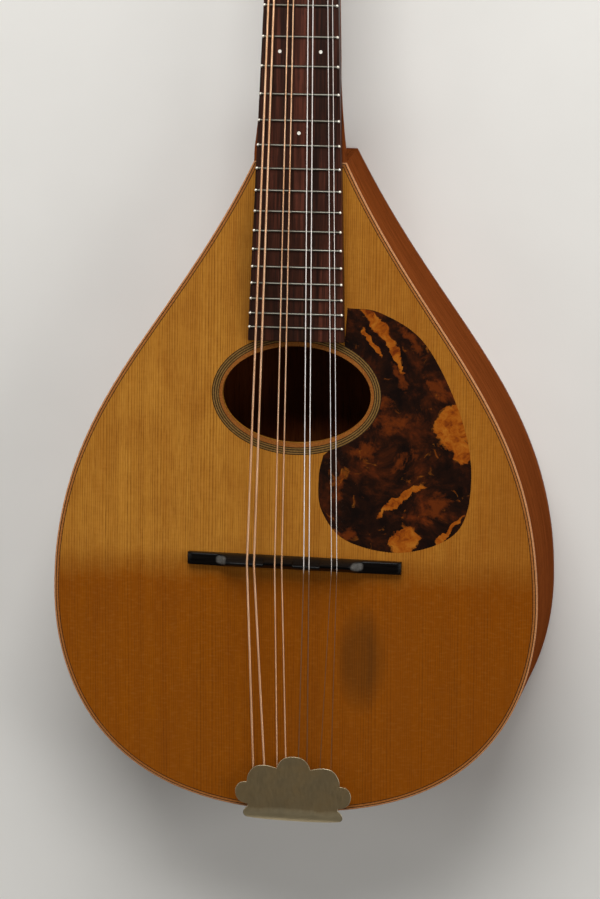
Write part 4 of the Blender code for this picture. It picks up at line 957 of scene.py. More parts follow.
def half_outline():
    """Points and outward directions down the treble side, from the neck to the tail."""
    start = Vector((BODY_END_HALF_WIDTH, BODY_END_Y))
    along = Vector((math.sin(SHOULDER_ANGLE), -math.cos(SHOULDER_ANGLE)))
    widest = Vector((WIDEST_HALF_WIDTH, WIDEST_Y))
    tail = Vector((0, TAIL_Y))
    upper = interpolate_bezier(start, start + along * SHOULDER_HANDLE,
                               widest + Vector((0, WIDEST_UPPER_HANDLE)), widest, SHOULDER_STEPS + 1)
    lower = interpolate_bezier(widest, widest - Vector((0, WIDEST_LOWER_HANDLE)),
                               tail + Vector((TAIL_HANDLE, 0)), tail, LOWER_STEPS + 1)
    points = [Vector(p[:2]) for p in upper + lower[1:]]
    outward = []
    for i, point in enumerate(points):
        before = points[i - 1] if i else point - along
        after = points[i + 1] if i + 1 < len(points) else Vector((-points[i - 1].x, points[i - 1].y))
        step = (after - before).normalized()
        outward.append(Vector((-step.y, step.x)))
    return points, outward


OUTLINE_POINTS, OUTLINE_OUTWARD = half_outline()


def inset_half(inset, end_y=BODY_END_Y):
    """The half outline moved inward, with its first point slid along the shoulder to end_y."""
    points = [p - out * inset for p, out in zip(OUTLINE_POINTS, OUTLINE_OUTWARD)]
    rise = (end_y - points[0].y) / (points[0].y - points[1].y)
    points[0] = points[0] + (points[0] - points[1]) * rise
    points[-1].x = 0
    return points


def inset_loop(inset):
    treble = inset_half(inset, BODY_END_Y - inset)
    return treble + [Vector((-p.x, p.y)) for p in treble[-2::-1]]


def tapered(mesh):
    """Bends a piece drawn in a box-shaped body to the real one, as the CAD part does."""
    def change(bm):
        parts = bm.verts[:] + bm.edges[:] + bm.faces[:]
        bmesh.ops.bisect_plane(bm, geom=parts, dist=WELD, plane_co=(0, 0, 0), plane_no=(0, 1, 0))
        for vert in bm.verts:
            x, y, z = vert.co
            if y <= 0:
                continue
            shoulder = BODY_END_HALF_WIDTH + SHOULDER_SLOPE * (BODY_END_Y - y)
            lean = RIM_LEAN * y * (1 - z / BODY_DEPTH) / shoulder
            fall = y * math.sin(NECK_PITCH) / BODY_DEPTH
            vert.co = (x * (1 - lean), y * math.cos(NECK_PITCH), z * (1 - fall))

    return edit_mesh(mesh, change)


def rim_mesh(name, profile):
    """Sweeps a closed profile of inset and height round the whole outline."""
    loops = [[(*p, z) for p in inset_loop(inset)] for inset, z in profile]
    return tapered(loft_mesh(name, loops, closed=False))


def half_rim_mesh(name, side, profile):
    """Sweeps a closed profile of inset and height down one half of the outline."""
    halves = [[(p.x * side, p.y, z) for p in inset_half(inset)] for inset, z in profile]
    return tapered(loft_mesh(name, list(zip(*halves))))


def ellipse(radii, sides=RING_SIDES):
    turn = 2 * math.pi / sides
    return [Vector((radii[0] * math.cos(i * turn), HOLE_CENTRE_Y + radii[1] * math.sin(i * turn)))
            for i in range(sides)]


def curve_through(points, steps):
    """A smooth open curve through the points, as a Catmull-Rom chain."""
    padded = [2 * points[0] - points[1]] + points + [2 * points[-1] - points[-2]]
    result = []
    for a, b, c, d in zip(padded, padded[1:], padded[2:], padded[3:]):
        for step in range(steps):
            t = step / steps
            result.append(0.5 * (2 * b + (c - a) * t + (2 * a - 5 * b + 4 * c - d) * t ** 2
                                 + (3 * b - a - 3 * c + d) * t ** 3))
    return result + [points[-1]]


def soundboard():
    mesh = plate_mesh("top_plate", [inset_loop(TOP_INSET), ellipse(HOLE_RADII)],
                      BODY_DEPTH - TOP_THICKNESS, BODY_DEPTH)
    piece("top_plate", tapered(mesh), SPRUCE, replaces=["soundboard"])


def edge_lines():
    for name, first, last, look in EDGE_LINES:
        low, high = BODY_DEPTH - EDGE_DEPTH, BODY_DEPTH
        outer, inner = first * MM, last * MM
        profile = [(outer, low), (outer, high), (inner, high), (inner, low)]
        if first == 0:
            arc = [math.radians(a) for a in (0, 22.5, 45, 67.5, 90)]
            rounded = [(EDGE_ROUNDING * (1 - math.cos(a)), high - EDGE_ROUNDING * (1 - math.sin(a)))
                       for a in arc]
            profile[1:2] = rounded
        piece(name, rim_mesh(name, profile), LINE_LOOKS[look], replaces=["top_binding"], sharp=60)


def rosette():
    top = BODY_DEPTH + INLAY_PROUD
    for name, first, last, look in ROSETTE_RINGS:
        outer, inner = [[r - offset * MM for r in ROSETTE_OUTER_RADII] for offset in (first, last)]
        mesh = plate_mesh(name, [ellipse(outer), ellipse(inner)], BODY_DEPTH - INLAY_DEPTH, top)
        piece(name, tapered(mesh), LINE_LOOKS[look], replaces=["rosette"])
    inside = [r - ROSETTE_RINGS[-1][2] * MM for r in ROSETTE_OUTER_RADII]
    mesh = plate_mesh("hole_band", [ellipse(inside), ellipse(HOLE_RADII)], BODY_DEPTH - HOLE_BAND_DEPTH, top)
    piece("hole_band", tapered(mesh), LINE_LOOKS["band"])


def pickguard():
    """Round the guard's free edge, then back along the rosette."""
    free_edge = curve_through([Vector(p) * MM for p in PICKGUARD_OUTLINE], PICKGUARD_CURVE_STEPS)
    first, last = PICKGUARD_RING_ANGLES
    ring = []
    for i in range(PICKGUARD_RING_STEPS + 1):
        angle = math.radians(first + (last - first) * i / PICKGUARD_RING_STEPS)
        ring.append(Vector((ROSETTE_OUTER_RADII[0] * math.cos(angle),
                            HOLE_CENTRE_Y + ROSETTE_OUTER_RADII[1] * math.sin(angle))))
    mesh = plate_mesh("pickguard_plate", [free_edge + ring], BODY_DEPTH - INLAY_DEPTH,
                      BODY_DEPTH + 2 * INLAY_PROUD)
    piece("pickguard_plate", tapered(mesh), TORTOISE, replaces=["pickguard"])


def ribs():
    high = BODY_DEPTH - EDGE_DEPTH
    profile = [(0, BACK_THICKNESS), (0, high), (SIDE_THICKNESS, high), (SIDE_THICKNESS, BACK_THICKNESS)]
    for name, node, side in (("rib_treble", "side_treble", 1), ("rib_bass", "side_bass", -1)):
        piece(name, half_rim_mesh(name, side, profile), MAHOGANY_RIBS, replaces=[node])


def back():
    mesh = tapered(plate_mesh("back", [inset_loop(0)], 0, BACK_THICKNESS))
    piece("back", bevelled(mesh, ROUNDING["back"], 3), MAHOGANY_BACK, replaces=["back_plate"], sharp=20)


def inner_wood():
    """The wood inside the body keeps its CAD shape."""
    for node, obj in NODES.items():
        if node.startswith(("lining_", "neck_block", "tail_block", "back_brace", "top_brace")):
            wood = MAHOGANY_ALONG if node == "neck_block" else BARE_WOOD
            obj.data.materials.clear()
            obj.data.materials.append(wood[0])


# Neck and headstock

def board_half_width(y):
    return BOARD_HALF_WIDTH_AT_NUT + (SCALE_LENGTH - y) * BOARD_WIDENING


def neck_section(y):
    """Half width, depth, squareness and narrowing toward the back of the neck's wood."""
    heel = min(max((HEEL_START_Y - y) / (HEEL_START_Y - HEEL_FULL_Y), 0), 1)
    nose = max((y - (SCALE_LENGTH - NOSE_LENGTH / 2)) / NOSE_LENGTH, 0)
    half_width = board_half_width(y) + HEEL_FLARE * heel ** 2
    depth = SHAFT_DEPTH + (HEEL_DEPTH - SHAFT_DEPTH) * heel ** HEEL_CURVE - NOSE_RISE * nose
    squareness = SHAFT_SQUARENESS + (HEEL_SQUARENESS - SHAFT_SQUARENESS) * heel
    return half_width, depth, squareness, HEEL_TAPER * heel


def neck_ring(y):
    half_width, depth, squareness, taper = neck_section(y)
    ring = []
    for i in range(NECK_ARC_STEPS + 1):
        angle = math.pi * i / NECK_ARC_STEPS
        across, down = math.cos(angle), math.sin(angle)
        fall = abs(down) ** (2 / squareness)
        x = half_width * (1 - taper * fall) * math.copysign(abs(across) ** (2 / squareness), across)
        ring.append((x, y, -depth * fall))
    return ring


def head_outline():
    """Half outline of the headstock from the nut to its crown, mirrored to a loop."""
    nut_half, low_half, high_half = HEAD_HALF_WIDTHS
    half = []
    for i in range(HEAD_CURVE_STEPS + 1):
        t = i / HEAD_CURVE_STEPS
        half.append(Vector((nut_half + (low_half - nut_half) * (1 - math.cos(math.pi * t)) / 2,
                            HEAD_FLARE_LENGTH * t)))
    side_top = HEAD_LENGTH - HEAD_CROWN
    half.append(Vector((high_half, side_top)))
    for i in range(1, HEAD_CURVE_STEPS):
        angle = math.pi / 2 * i / HEAD_CURVE_STEPS
        half.append(Vector((high_half * math.cos(angle) ** HEAD_CROWN_FULLNESS,
                            side_top + HEAD_CROWN * math.sin(angle))))
    half.append(Vector((0, HEAD_LENGTH)))
    return half + [Vector((-p.x, p.y)) for p in half[-2::-1]]


POSTS = {(side, i): Vector((side * POST_X, FIRST_POST_Y + i * POST_SPACING, 0))
         for side in (1, -1) for i in range(4)}


def bore_outlines():
    angles = [2 * math.pi * i / POST_BORE_SIDES for i in range(POST_BORE_SIDES)]
    return [[place.xy + polar(POST_BORE, angle) for angle in angles] for place in POSTS.values()]


def neck():
    mesh = loft_mesh("neck_wood", [neck_ring(y * MM) for y in NECK_STATIONS])
    mesh.transform(NECK)
    end_y = BODY_END_Y * math.cos(NECK_PITCH)
    mesh = combined(mesh, box_mesh("body_end", (-FAR, end_y - FAR, -FAR), (FAR, end_y, FAR)), "DIFFERENCE")
    head = plate_mesh("head", [head_outline()] + bore_outlines(), -HEAD_THICKNESS, 0)
    head = bevelled(head, ROUNDING["head"], 3)
    head.transform(HEAD)
    mesh = combined(mesh, head, "UNION")
    piece("neck_wood", mesh, MAHOGANY_NECK, replaces=["neck"], sharp=20)


def fretboard():
    low_half = board_half_width(BOARD_END_Y)
    outline = [Vector((low_half, BOARD_END_Y)), Vector((BOARD_HALF_WIDTH_AT_NUT, SCALE_LENGTH)),
               Vector((-BOARD_HALF_WIDTH_AT_NUT, SCALE_LENGTH)), Vector((-low_half, BOARD_END_Y))]
    mesh = plate_mesh("fingerboard", [outline], 0, BOARD_THICKNESS)
    mesh = bevelled(mesh, ROUNDING["fingerboard"], 3)
    piece("fingerboard", mesh, ROSEWOOD, NECK, replaces=["fretboard"], sharp=20)


def fret_y(n):
    return SCALE_LENGTH * 2 ** (-n / 12)


def on_neck(name, mesh, look, sharp=38):
    """A small piece drawn in the neck's frame and kept in the shared one."""
    mesh.transform(NECK)
    piece(name, mesh, look, sharp=sharp)


def fret_section(x, y, share):
    """The crowned section of a fret wire, lower by a share near its ends."""
    arcs = [polar(1, math.pi * i / FRET_SIDES) for i in range(FRET_SIDES + 1)]
    return [(x, y + FRET_WIDTH / 2 * arc.x, BOARD_THICKNESS + FRET_HEIGHT * share * arc.y) for arc in arcs]


def frets():
    """Crowned wires with slightly slanted ends."""
    def build(bm):
        for n in range(1, FRET_COUNT + 1):
            half = board_half_width(fret_y(n)) - FRET_END_GAP
            ends = [(half - inset * MM, share) for inset, share in FRET_SLANT]
            stations = [(-x, share) for x, share in ends] + ends[::-1]
            rings = [[bm.verts.new(p) for p in fret_section(x, fret_y(n), share)] for x, share in stations]
            for a, b in zip(rings, rings[1:]):
                for i in range(FRET_SIDES):
                    bm.faces.new((a[i], a[i + 1], b[i + 1], b[i]))
            for ring in (rings[0], rings[-1]):
                bm.faces.new(ring)

    on_neck("fret_wires", mesh_from("fret_wires", build), FRET_METAL, 60)


def fret_ends():
    """The rounded end of each fret wire at both edges of the board, painted brighter than the wire as a
    painted highlight.
    """
    def build(bm):
        for n in range(1, FRET_COUNT + 1):
            x = board_half_width(fret_y(n)) - FRET_END_GAP - FRET_BEAD_RADIUS / 2
            for side in (1, -1):
                place = MOVED((side * x, fret_y(n), BOARD_THICKNESS + FRET_BEAD_RISE))
                bmesh.ops.create_uvsphere(bm, u_segments=16, v_segments=12, radius=FRET_BEAD_RADIUS,
                                          matrix=place)

    on_neck("fret_ends", mesh_from("fret_ends", build), FRET_END_HIGHLIGHT, 60)


def dots():
    """Pearl dots halfway between frets, a hair above the board."""
    places = [Vector((x * MM, (fret_y(n) + fret_y(n - 1)) / 2, BOARD_THICKNESS - DOT_SINK)) for n, x in DOTS]
    on_neck("position_dots", rod_mesh("position_dots", places, DOT_RADIUS, DOT_THICKNESS, sides=24), PEARL)


def nut():
    piece("nut_bone", bevelled(node_mesh("nut"), ROUNDING["nut"]), BONE, replaces=["nut"], sharp=20)


def headstock_veneer():
    outline = [p for p in head_outline() if p.y > JOINT_GAP]
    start = Vector((HEAD_HALF_WIDTHS[0], JOINT_GAP))
    outline = [start] + outline + [Vector((-start.x, start.y))]
    mesh = plate_mesh("head_veneer", [outline] + bore_outlines(), 0, VENEER_GAP + VENEER_THICKNESS)
    mesh = bevelled(mesh, ROUNDING["veneer"])
    piece("head_veneer", mesh, ROSEWOOD, HEAD, replaces=["headstock_veneer"], sharp=20)


# Bridge and tailpiece

def bridge_height(x):
    """Height of the bridge's upper edge at x, both in millimetres, with its corners eased."""
    def straight(place):
        for (xa, za), (xb, zb) in zip(BRIDGE_EDGE, BRIDGE_EDGE[1:]):
            if xa <= place <= xb:
                return za + (zb - za) * (place - xa) / (xb - xa)
        return BRIDGE_EDGE[0][1]

    before = max(x - BRIDGE_CORNER_EASE, BRIDGE_EDGE[0][0])
    after = min(x + BRIDGE_CORNER_EASE, BRIDGE_EDGE[-1][0])
    return (straight(before) + straight(x) + straight(after)) / 3


def crest_offset(x):
    """How far the crest stands toward the tail at x, in millimetres."""
    for end, offset in CREST_STEPS:
        if x < end:
            return offset
    return CREST_STEPS[-1][1]


def bridge_ring(x):
    """A section of the bridge: upright sides up to the wings' height, then in to a narrow crest."""
    height = bridge_height(x) * MM
    ring = []
    for share, ease in BRIDGE_EASE:
        z = height * share
        rise = max(z - BRIDGE_WING_HEIGHT, 0) / (BRIDGE_TOP - BRIDGE_WING_HEIGHT)
        half = BRIDGE_HALF_THICKNESS + (BRIDGE_CREST_HALF - BRIDGE_HALF_THICKNESS) * rise
        ring.append((half * ease, z, -crest_offset(x) * MM * rise))
    front = [(x * MM, shift - half, z) for half, z, shift in ring]
    behind = [(x * MM, shift + half, z) for half, z, shift in ring[::-1]]
    return front + behind


def bridge():
    mesh = loft_mesh("bridge_ebony", [bridge_ring(x) for x in BRIDGE_STATIONS])
    place = MOVED((SADDLE_SHIFT / 2, -BRIDGE_SETBACK, BODY_DEPTH))
    mesh.transform(place @ Matrix.Rotation(BRIDGE_TURN, 4, "Z"))
    piece("bridge_ebony", mesh, EBONY, replaces=["bridge"], sharp=48)


def rounded_rectangle(low, high, radius, steps=6):
    """Outline between two corners in the plane, with round corners."""
    outline = []
    for x, y, first in ((high[0] - radius, high[1] - radius, 0), (low[0] + radius, high[1] - radius, 90),
                        (low[0] + radius, low[1] + radius, 180), (high[0] - radius, low[1] + radius, 270)):
        for i in range(steps + 1):
            outline.append(Vector((x, y)) + polar(radius, math.radians(first + 90 * i / steps)))
    return outline


def tailpiece_base():
    """An angle plate over the tail's edge, with one upright hook for each string."""
    back_y = TAIL_Y - BASE_GAP_AT_TAIL
    low = BODY_DEPTH + BASE_GAP_AT_TOP
    high = low + BASE_THICKNESS
    outline = rounded_rectangle((-BASE_HALF_WIDTH, back_y - BASE_THICKNESS),
                                (BASE_HALF_WIDTH, HOOK_Y + BASE_REACH), BASE_CORNER)
    mesh = plate_mesh("base", [outline], low, high)
    corners = (-BASE_DROP_HALF_WIDTH, low - BASE_DROP), (BASE_DROP_HALF_WIDTH, high - BASE_THICKNESS / 2)
    rounded = rounded_rectangle(*corners, BASE_DROP_CORNER)
    outline = [Vector(corners[1]), Vector((corners[0][0], corners[1][1]))] + rounded[len(rounded) // 2:]
    drop = plate_mesh("drop", [outline], -back_y, BASE_THICKNESS - back_y)
    drop.transform(FACING_TAIL)
    mesh = bevelled(combined(mesh, drop, "UNION"), ROUNDING["base"])
    screw = screw_mesh(*TAIL_SCREW_SIZE)
    for number, (x, drop_z) in enumerate(TAIL_SCREWS):
        place = MOVED((x * MM, back_y - BASE_THICKNESS, BODY_DEPTH - drop_z * MM))
        turn = FACING_TAIL @ Matrix.Rotation(0.6 + number, 4, "Z")
        piece(f"tail_screw_{number}", screw.copy(), NICKEL, place @ turn)
    hook_top = BODY_DEPTH + HOOK_TOP
    centres = [Vector((x * MM, HOOK_Y, (hook_top + high) / 2)) for _, _, x, _, _, _ in STRINGS]
    hooks = rod_mesh("hooks", centres, HOOK_RADIUS, hook_top - high + BASE_THICKNESS, sides=20)
    mesh = joined("tailpiece_frame", [mesh, bevelled(hooks, ROUNDING["hook"], 3)])
    piece("tailpiece_frame", mesh, NICKEL, replaces=["tailpiece_base"])


def cover_outline():
    """Five lobes toward the bridge, a notch and a foot each side, and a bowed edge over the tail."""
    half = []
    for curve in COVER_CURVES:
        half += curve_through([Vector(p) * MM for p in curve], COVER_CURVE_STEPS)[:-1]
    half.append(Vector(COVER_CURVES[-1][-1]) * MM)
    return half + [Vector((-p.x, p.y)) for p in half[-2:0:-1]]


def cover_fall(y):
    """How far the sheet has bent down at y; straight between the rows, so that its strips stay flat."""
    row_length = (COVER_BEND_Y - COVER_FRONT_Y) / COVER_BEND_ROWS
    row, share = divmod(max(COVER_BEND_Y - y, 0) / row_length, 1)
    before, after = [COVER_BEND_RADIUS - math.sqrt(COVER_BEND_RADIUS ** 2 - (r * row_length) ** 2)
                     for r in (row, row + 1)]
    return before + (after - before) * share


def tailpiece_cover():
    """A sheet that bends down over the tail and goes on as an apron, made solid inward."""
    high = BODY_DEPTH + COVER_HEIGHT + COVER_THICKNESS
    bottom = BODY_DEPTH + COVER_HEIGHT - COVER_APRON_DROP

    def build(bm):
        bm.faces.new([bm.verts.new((*p, high)) for p in cover_outline()])
        bend = COVER_FRONT_Y - COVER_BEND_Y
        rows = [COVER_BEND_Y + bend * i / COVER_BEND_ROWS for i in range(COVER_BEND_ROWS)]
        for y in [COVER_BEND_Y + COVER_CUT_BEFORE_BEND] + rows:
            parts = bm.verts[:] + bm.edges[:] + bm.faces[:]
            bmesh.ops.bisect_plane(bm, geom=parts, dist=WELD, plane_co=(0, y, 0), plane_no=(0, 1, 0))
        front = [edge for edge in bm.edges if edge.is_boundary
                 and all(vert.co.y < COVER_APRON_START_Y for vert in edge.verts)
                 and all(abs(vert.co.x) < COVER_APRON_HALF_WIDTH for vert in edge.verts)]
        for vert in bm.verts:
            vert.co.z -= cover_fall(vert.co.y)
        made = bmesh.ops.extrude_edge_only(bm, edges=front)["geom"]
        lower = [vert for vert in made if isinstance(vert, bmesh.types.BMVert)]
        corner_x = max(abs(vert.co.x) for vert in lower) - COVER_APRON_CORNER
        for vert in lower:
            over = max(abs(vert.co.x) - corner_x, 0)
            vert.co.z = bottom + COVER_APRON_CORNER - math.sqrt(COVER_APRON_CORNER ** 2 - over ** 2)

    sheet = linked("cover", mesh_from("cover", build))
    solid = sheet.modifiers.new("solid", "SOLIDIFY")
    solid.thickness = COVER_THICKNESS
    solid.use_even_offset = True
    mesh = bevelled(baked(sheet), ROUNDING["cover"], angle=50)
    shift, turn = COVER_PLACE
    place = MOVED((shift, COVER_FRONT_Y, 0)) @ Matrix.Rotation(turn, 4, "Z")
    place = place @ MOVED((0, -COVER_FRONT_Y, 0))
    mesh.transform(place)
    piece("tailpiece_lid", mesh, COVER_NICKEL, replaces=["tailpiece_cover"], sharp=20)
    cover_rim(place, high - COVER_RIM_RADIUS)


def cover_rim(place, height):
    """A bright bead along the cover's edge, all round but for the bent front."""
    edge = cover_outline()
    last = next(i for i, p in enumerate(edge) if p.y < COVER_APRON_START_Y)
    first = next(i for i, p in enumerate(edge) if p.x < 0 and p.y > COVER_APRON_START_Y)
    path = [place @ Vector((p.x, p.y, height - cover_fall(p.y))) for p in edge[first:] + edge[:last]]
    wire("tailpiece_rim", path, COVER_RIM_RADIUS, RIM_NICKEL)


# Tuners

def gear_mesh():
    """A wheel whose teeth slant as the worm's thread does, with one tooth facing the worm."""
    middle = (TOOTH_ROOT_HALF + TOOTH_TIP_HALF) / 2
    rising = [(GEAR_ROOT_RADIUS, -TOOTH_ROOT_HALF), (GEAR_PITCH_RADIUS, -middle),
              (GEAR_TIP_RADIUS, -TOOTH_TIP_HALF)]
    flank = rising + [(radius, -offset) for radius, offset in rising[::-1]]
    outline = []
    for tooth in range(GEAR_TEETH):
        centre = math.pi / 2 + 2 * math.pi * tooth / GEAR_TEETH
        for radius, offset in flank:
            outline.append(polar(radius, centre + offset / radius))
    mesh = plate_mesh("gear", [outline], GEAR_Z - GEAR_FACE / 2, GEAR_Z + GEAR_FACE / 2)
    slant = WORM_PITCH / (2 * math.pi * WORM_PITCH_RADIUS) / GEAR_PITCH_RADIUS
    for vert in mesh.vertices:
        vert.co = Matrix.Rotation((vert.co.z - GEAR_Z) * slant, 3, "Z") @ vert.co
    return bevelled(mesh, ROUNDING["gear"], 1)


def post_mesh():
    """The string post, with its waist, rounded head and cross hole."""
    low = GEAR_Z - GEAR_FACE / 2
    profile = [(radius * MM, z * MM) for radius, z in POST_PROFILE]
    profile += [(POST_RADIUS, POST_SHOULDER_Z), (GEAR_SHAFT_RADIUS, POST_SHOULDER_Z),
                (GEAR_SHAFT_RADIUS, low), (0, low)]
    hole = rod_mesh("hole", [Vector((0, 0, POST_HOLE_Z))], POST_HOLE_RADIUS, FAR, sides=16, turn=ALONG_X)
    return combined(turned_mesh("post", profile, sides=48), hole, "DIFFERENCE")


def screw_mesh(radius, height, slot_width):
    """A domed, slotted screw head that stands on z = 0 and faces up."""
    rise = height * SCREW_DOME
    profile = [(0, 0), (radius, 0), (radius, height - rise)]
    for i in range(1, 6):
        angle = math.pi / 2 * i / 6
        profile.append((radius * math.cos(angle), height - rise + rise * math.sin(angle)))
    profile.append((0, height))
    head = turned_mesh("screw", profile, sides=32)
    bottom = height * SCREW_SLOT_BOTTOM
    slot = box_mesh("slot", (-FAR, -slot_width / 2, bottom), (FAR, slot_width / 2, FAR))
    return combined(head, slot, "DIFFERENCE")


def worm_mesh():
    """A right-hand thread about X with its shaft; thread rows run along the helix."""
    corners = ((-THREAD_ROOT_HALF, WORM_CORE_RADIUS), (-THREAD_CREST_HALF, WORM_OUTER_RADIUS),
               (THREAD_CREST_HALF, WORM_OUTER_RADIUS), (THREAD_ROOT_HALF, WORM_CORE_RADIUS))
    half = WORM_LENGTH / 2
    turns = math.ceil(half / WORM_PITCH) + 1

    def point(row, side):
        lap, corner = divmod(row, len(corners))
        phase, radius = corners[corner]
        x = (lap - turns + phase + side / WORM_SIDES) * WORM_PITCH
        if abs(x) >= half:
            x = math.copysign(half, x)
            radius = WORM_CORE_RADIUS
        angle = 2 * math.pi * side / WORM_SIDES
        return Vector((x, radius * math.cos(angle), radius * math.sin(angle)))

    def build(bm):
        rows = len(corners) * 2 * turns
        grid = [[bm.verts.new(point(row, side)) for row in range(rows)] for side in range(WORM_SIDES)]
        for side in range(WORM_SIDES):
            wraps = side == WORM_SIDES - 1
            this, other = grid[side], grid[(side + 1) % WORM_SIDES]
            shift = len(corners) if wraps else 0
            for row in range(rows - 1 - shift):
                bm.faces.new((this[row], this[row + 1], other[row + 1 + shift], other[row + shift]))
        bmesh.ops.remove_doubles(bm, verts=bm.verts, dist=WELD)
        bmesh.ops.dissolve_degenerate(bm, edges=bm.edges, dist=WELD)

    thread = mesh_from("thread", build)
    centre_x = (SHAFT_OUTER_END - SHAFT_INNER_END) / 2
    length = SHAFT_OUTER_END + SHAFT_INNER_END
    shaft = rod_mesh("shaft", [Vector((centre_x, 0, 0))], WORM_SHAFT_RADIUS, length, sides=32, turn=ALONG_X)
    return joined("worm", [thread, bevelled(shaft, ROUNDING["shaft"])])


def button_mesh():
    """An oval knob with a short collar, flattened across the headstock's face; it points along +Z."""
    top = BUTTON_START + BUTTON_LENGTH
    profile = [(0, top)]
    for i in range(1, BUTTON_ARC_STEPS - 3):
        angle = math.pi * i / BUTTON_ARC_STEPS
        profile.append((BUTTON_RADIUS * math.sin(angle) ** BUTTON_FULLNESS,
                        top - BUTTON_OVAL_LENGTH * (1 - math.cos(angle)) / 2))
    profile += [(radius * MM, top - z * MM) for radius, z in BUTTON_COLLAR]
    bore_top = BUTTON_START + BUTTON_BORE_DEPTH
    profile += [(BUTTON_BORE_RADIUS, BUTTON_START), (BUTTON_BORE_RADIUS, bore_top), (0, bore_top)]
    mesh = turned_mesh("button", profile, sides=48)
    mesh.transform(Matrix.Diagonal((BUTTON_FLATNESS, 1, 1, 1)))
    return mesh


def tuner_plates():
    screw = screw_mesh(*PLATE_SCREW_SIZE)
    for side_name, side in (("treble", 1), ("bass", -1)):
        node = "tuner_plate_" + side_name
        strip = bevelled(node_mesh(node), ROUNDING["strip"], 1)
        piece("strip_" + side_name, strip, NICKEL, replaces=[node], sharp=20)
        for i in range(3):
            place = POSTS[side, i] + Vector((0, PLATE_SCREW_Y, PLATE_BACK_Z))
            turn = Matrix.Rotation(math.pi, 4, "X") @ Matrix.Rotation(0.5 + i * 1.1 + side, 4, "Z")
            piece(f"strip_screw_{side_name}_{i}", screw.copy(), NICKEL, HEAD @ MOVED(place) @ turn)


def bushings():
    """A turned nickel ring round each post on the headstock's face."""
    base = VENEER_GAP + VENEER_THICKNESS
    angles = [2 * math.pi * i / BUSHING_SIDES for i in range(BUSHING_SIDES)]
    rings = [[(*polar(radius * MM, angle), base + z * MM) for angle in angles]
             for radius, z in BUSHING_PROFILE]
    for (side, i), place in POSTS.items():
        name = f"bushing_{'treble' if side > 0 else 'bass'}_{i}"
        piece(name, loft_mesh(name, rings, closed=False), NICKEL, HEAD @ MOVED(place))


def tuners():
    post, gear, worm, button = post_mesh(), gear_mesh(), worm_mesh(), button_mesh()
    foot_screw = screw_mesh(*GEAR_SCREW_SIZE)
    foot_z = GEAR_Z - GEAR_FACE / 2
    for number, (name, _, _, x_bridge, _, index) in enumerate(STRINGS):
        side = 1 if x_bridge > 0 else -1
        place = POSTS[side, index]
        short = name.removeprefix("string_")
        at_post = HEAD @ MOVED(place)
        winder, knob = "winder_" + short, "knob_" + short
        piece("string_post_" + short, post.copy(), NICKEL, at_post, winder, ["post_" + short])
        piece("gear_" + short, gear.copy(), NICKEL, at_post, winder, sharp=30)
        under = MOVED((0, 0, foot_z)) @ Matrix.Rotation(math.pi, 4, "X")
        under = under @ Matrix.Rotation(0.4 + 0.9 * number, 4, "Z")
        piece("gear_screw_" + short, foot_screw.copy(), NICKEL, at_post @ under, winder)
        turn = HERE if side > 0 else Matrix.Rotation(math.pi, 4, "Y")
        offset = Vector((0, GEAR_PITCH_RADIUS + WORM_PITCH_RADIUS, GEAR_Z))
        at_worm = HEAD @ MOVED(place + offset) @ turn
        piece("worm_shaft_" + short, worm.copy(), STEEL, at_worm, knob, ["worm_" + short], sharp=30)
        piece("oval_button_" + short, button.copy(), IVOROID, at_worm @ ALONG_X, knob, ["button_" + short],
              sharp=60)


# Strings

def winding(side, place, radius, nut_point):
    """The turns of one string on its post and its end through the post's hole, in the headstock's frame."""
    wrap = POST_WAIST + JOINT_GAP + radius
    pitch = 2 * radius + TURN_GAP
    centre = Vector((abs(place.x), place.y))
    to_nut = Vector((nut_point.x * side, nut_point.y)) - centre
    first = math.atan2(to_nut.y, to_nut.x) - math.acos(wrap / to_nut.length)
    tuck_angle = math.asin(TUCK_RADIUS / (wrap - TUCK_RADIUS))
    last = math.pi + tuck_angle
    sweep = (first - last) % (2 * math.pi) + STRING_TURNS * 2 * math.pi
    count = round(sweep / (2 * math.pi) * LOOP_POINTS)
    low = POST_HOLE_Z - pitch * sweep / (2 * math.pi)
    path = []
    for i in range(count + 1):
        height = low + (POST_HOLE_Z - low) * i / count
        path.append(Vector((*(centre + polar(wrap, first - sweep * i / count)), height)))
    bend_x = math.sqrt((wrap - TUCK_RADIUS) ** 2 - TUCK_RADIUS ** 2)
    bend = centre - Vector((bend_x, TUCK_RADIUS))
    for i in range(1, TUCK_STEPS + 1):
        angle = last - (tuck_angle + math.pi / 2) * i / TUCK_STEPS
        path.append(Vector((*(bend + polar(TUCK_RADIUS, angle)), POST_HOLE_Z)))
    path.append(Vector((centre.x + POST_RADIUS + STRING_END, centre.y, POST_HOLE_Z)))
    return [Vector((p.x * side, p.y, p.z)) for p in path]


def string_path(radius, x_tail, x_bridge, x_nut, post):
    """The string's centre line in the row's frame: hook, saddle, nut, then its turns on the post."""
    side = 1 if x_bridge > 0 else -1
    hook = Vector((x_tail * MM, HOOK_Y + HOOK_RADIUS + HOOK_GAP, BODY_DEPTH + STRING_HEIGHT_AT_HOOK))
    saddle_x = x_bridge * MM + SADDLE_SHIFT
    saddle = Vector((saddle_x, saddle_x * math.tan(BRIDGE_TURN) - BRIDGE_SETBACK,
                     BODY_DEPTH + BRIDGE_TOP + STRING_REST + radius))
    nut_point = Vector((x_nut * MM, SCALE_LENGTH, STRING_BOTTOM_AT_NUT + radius))
    nut_back = nut_point + Vector((0, NUT_LENGTH, -STRING_DROP_OVER_NUT))
    turns = winding(side, POSTS[side, post], radius, HEAD_IN_NECK.inverted() @ nut_back)
    return [hook, saddle, NECK @ nut_point, NECK @ nut_back] + [HEAD @ p for p in turns]


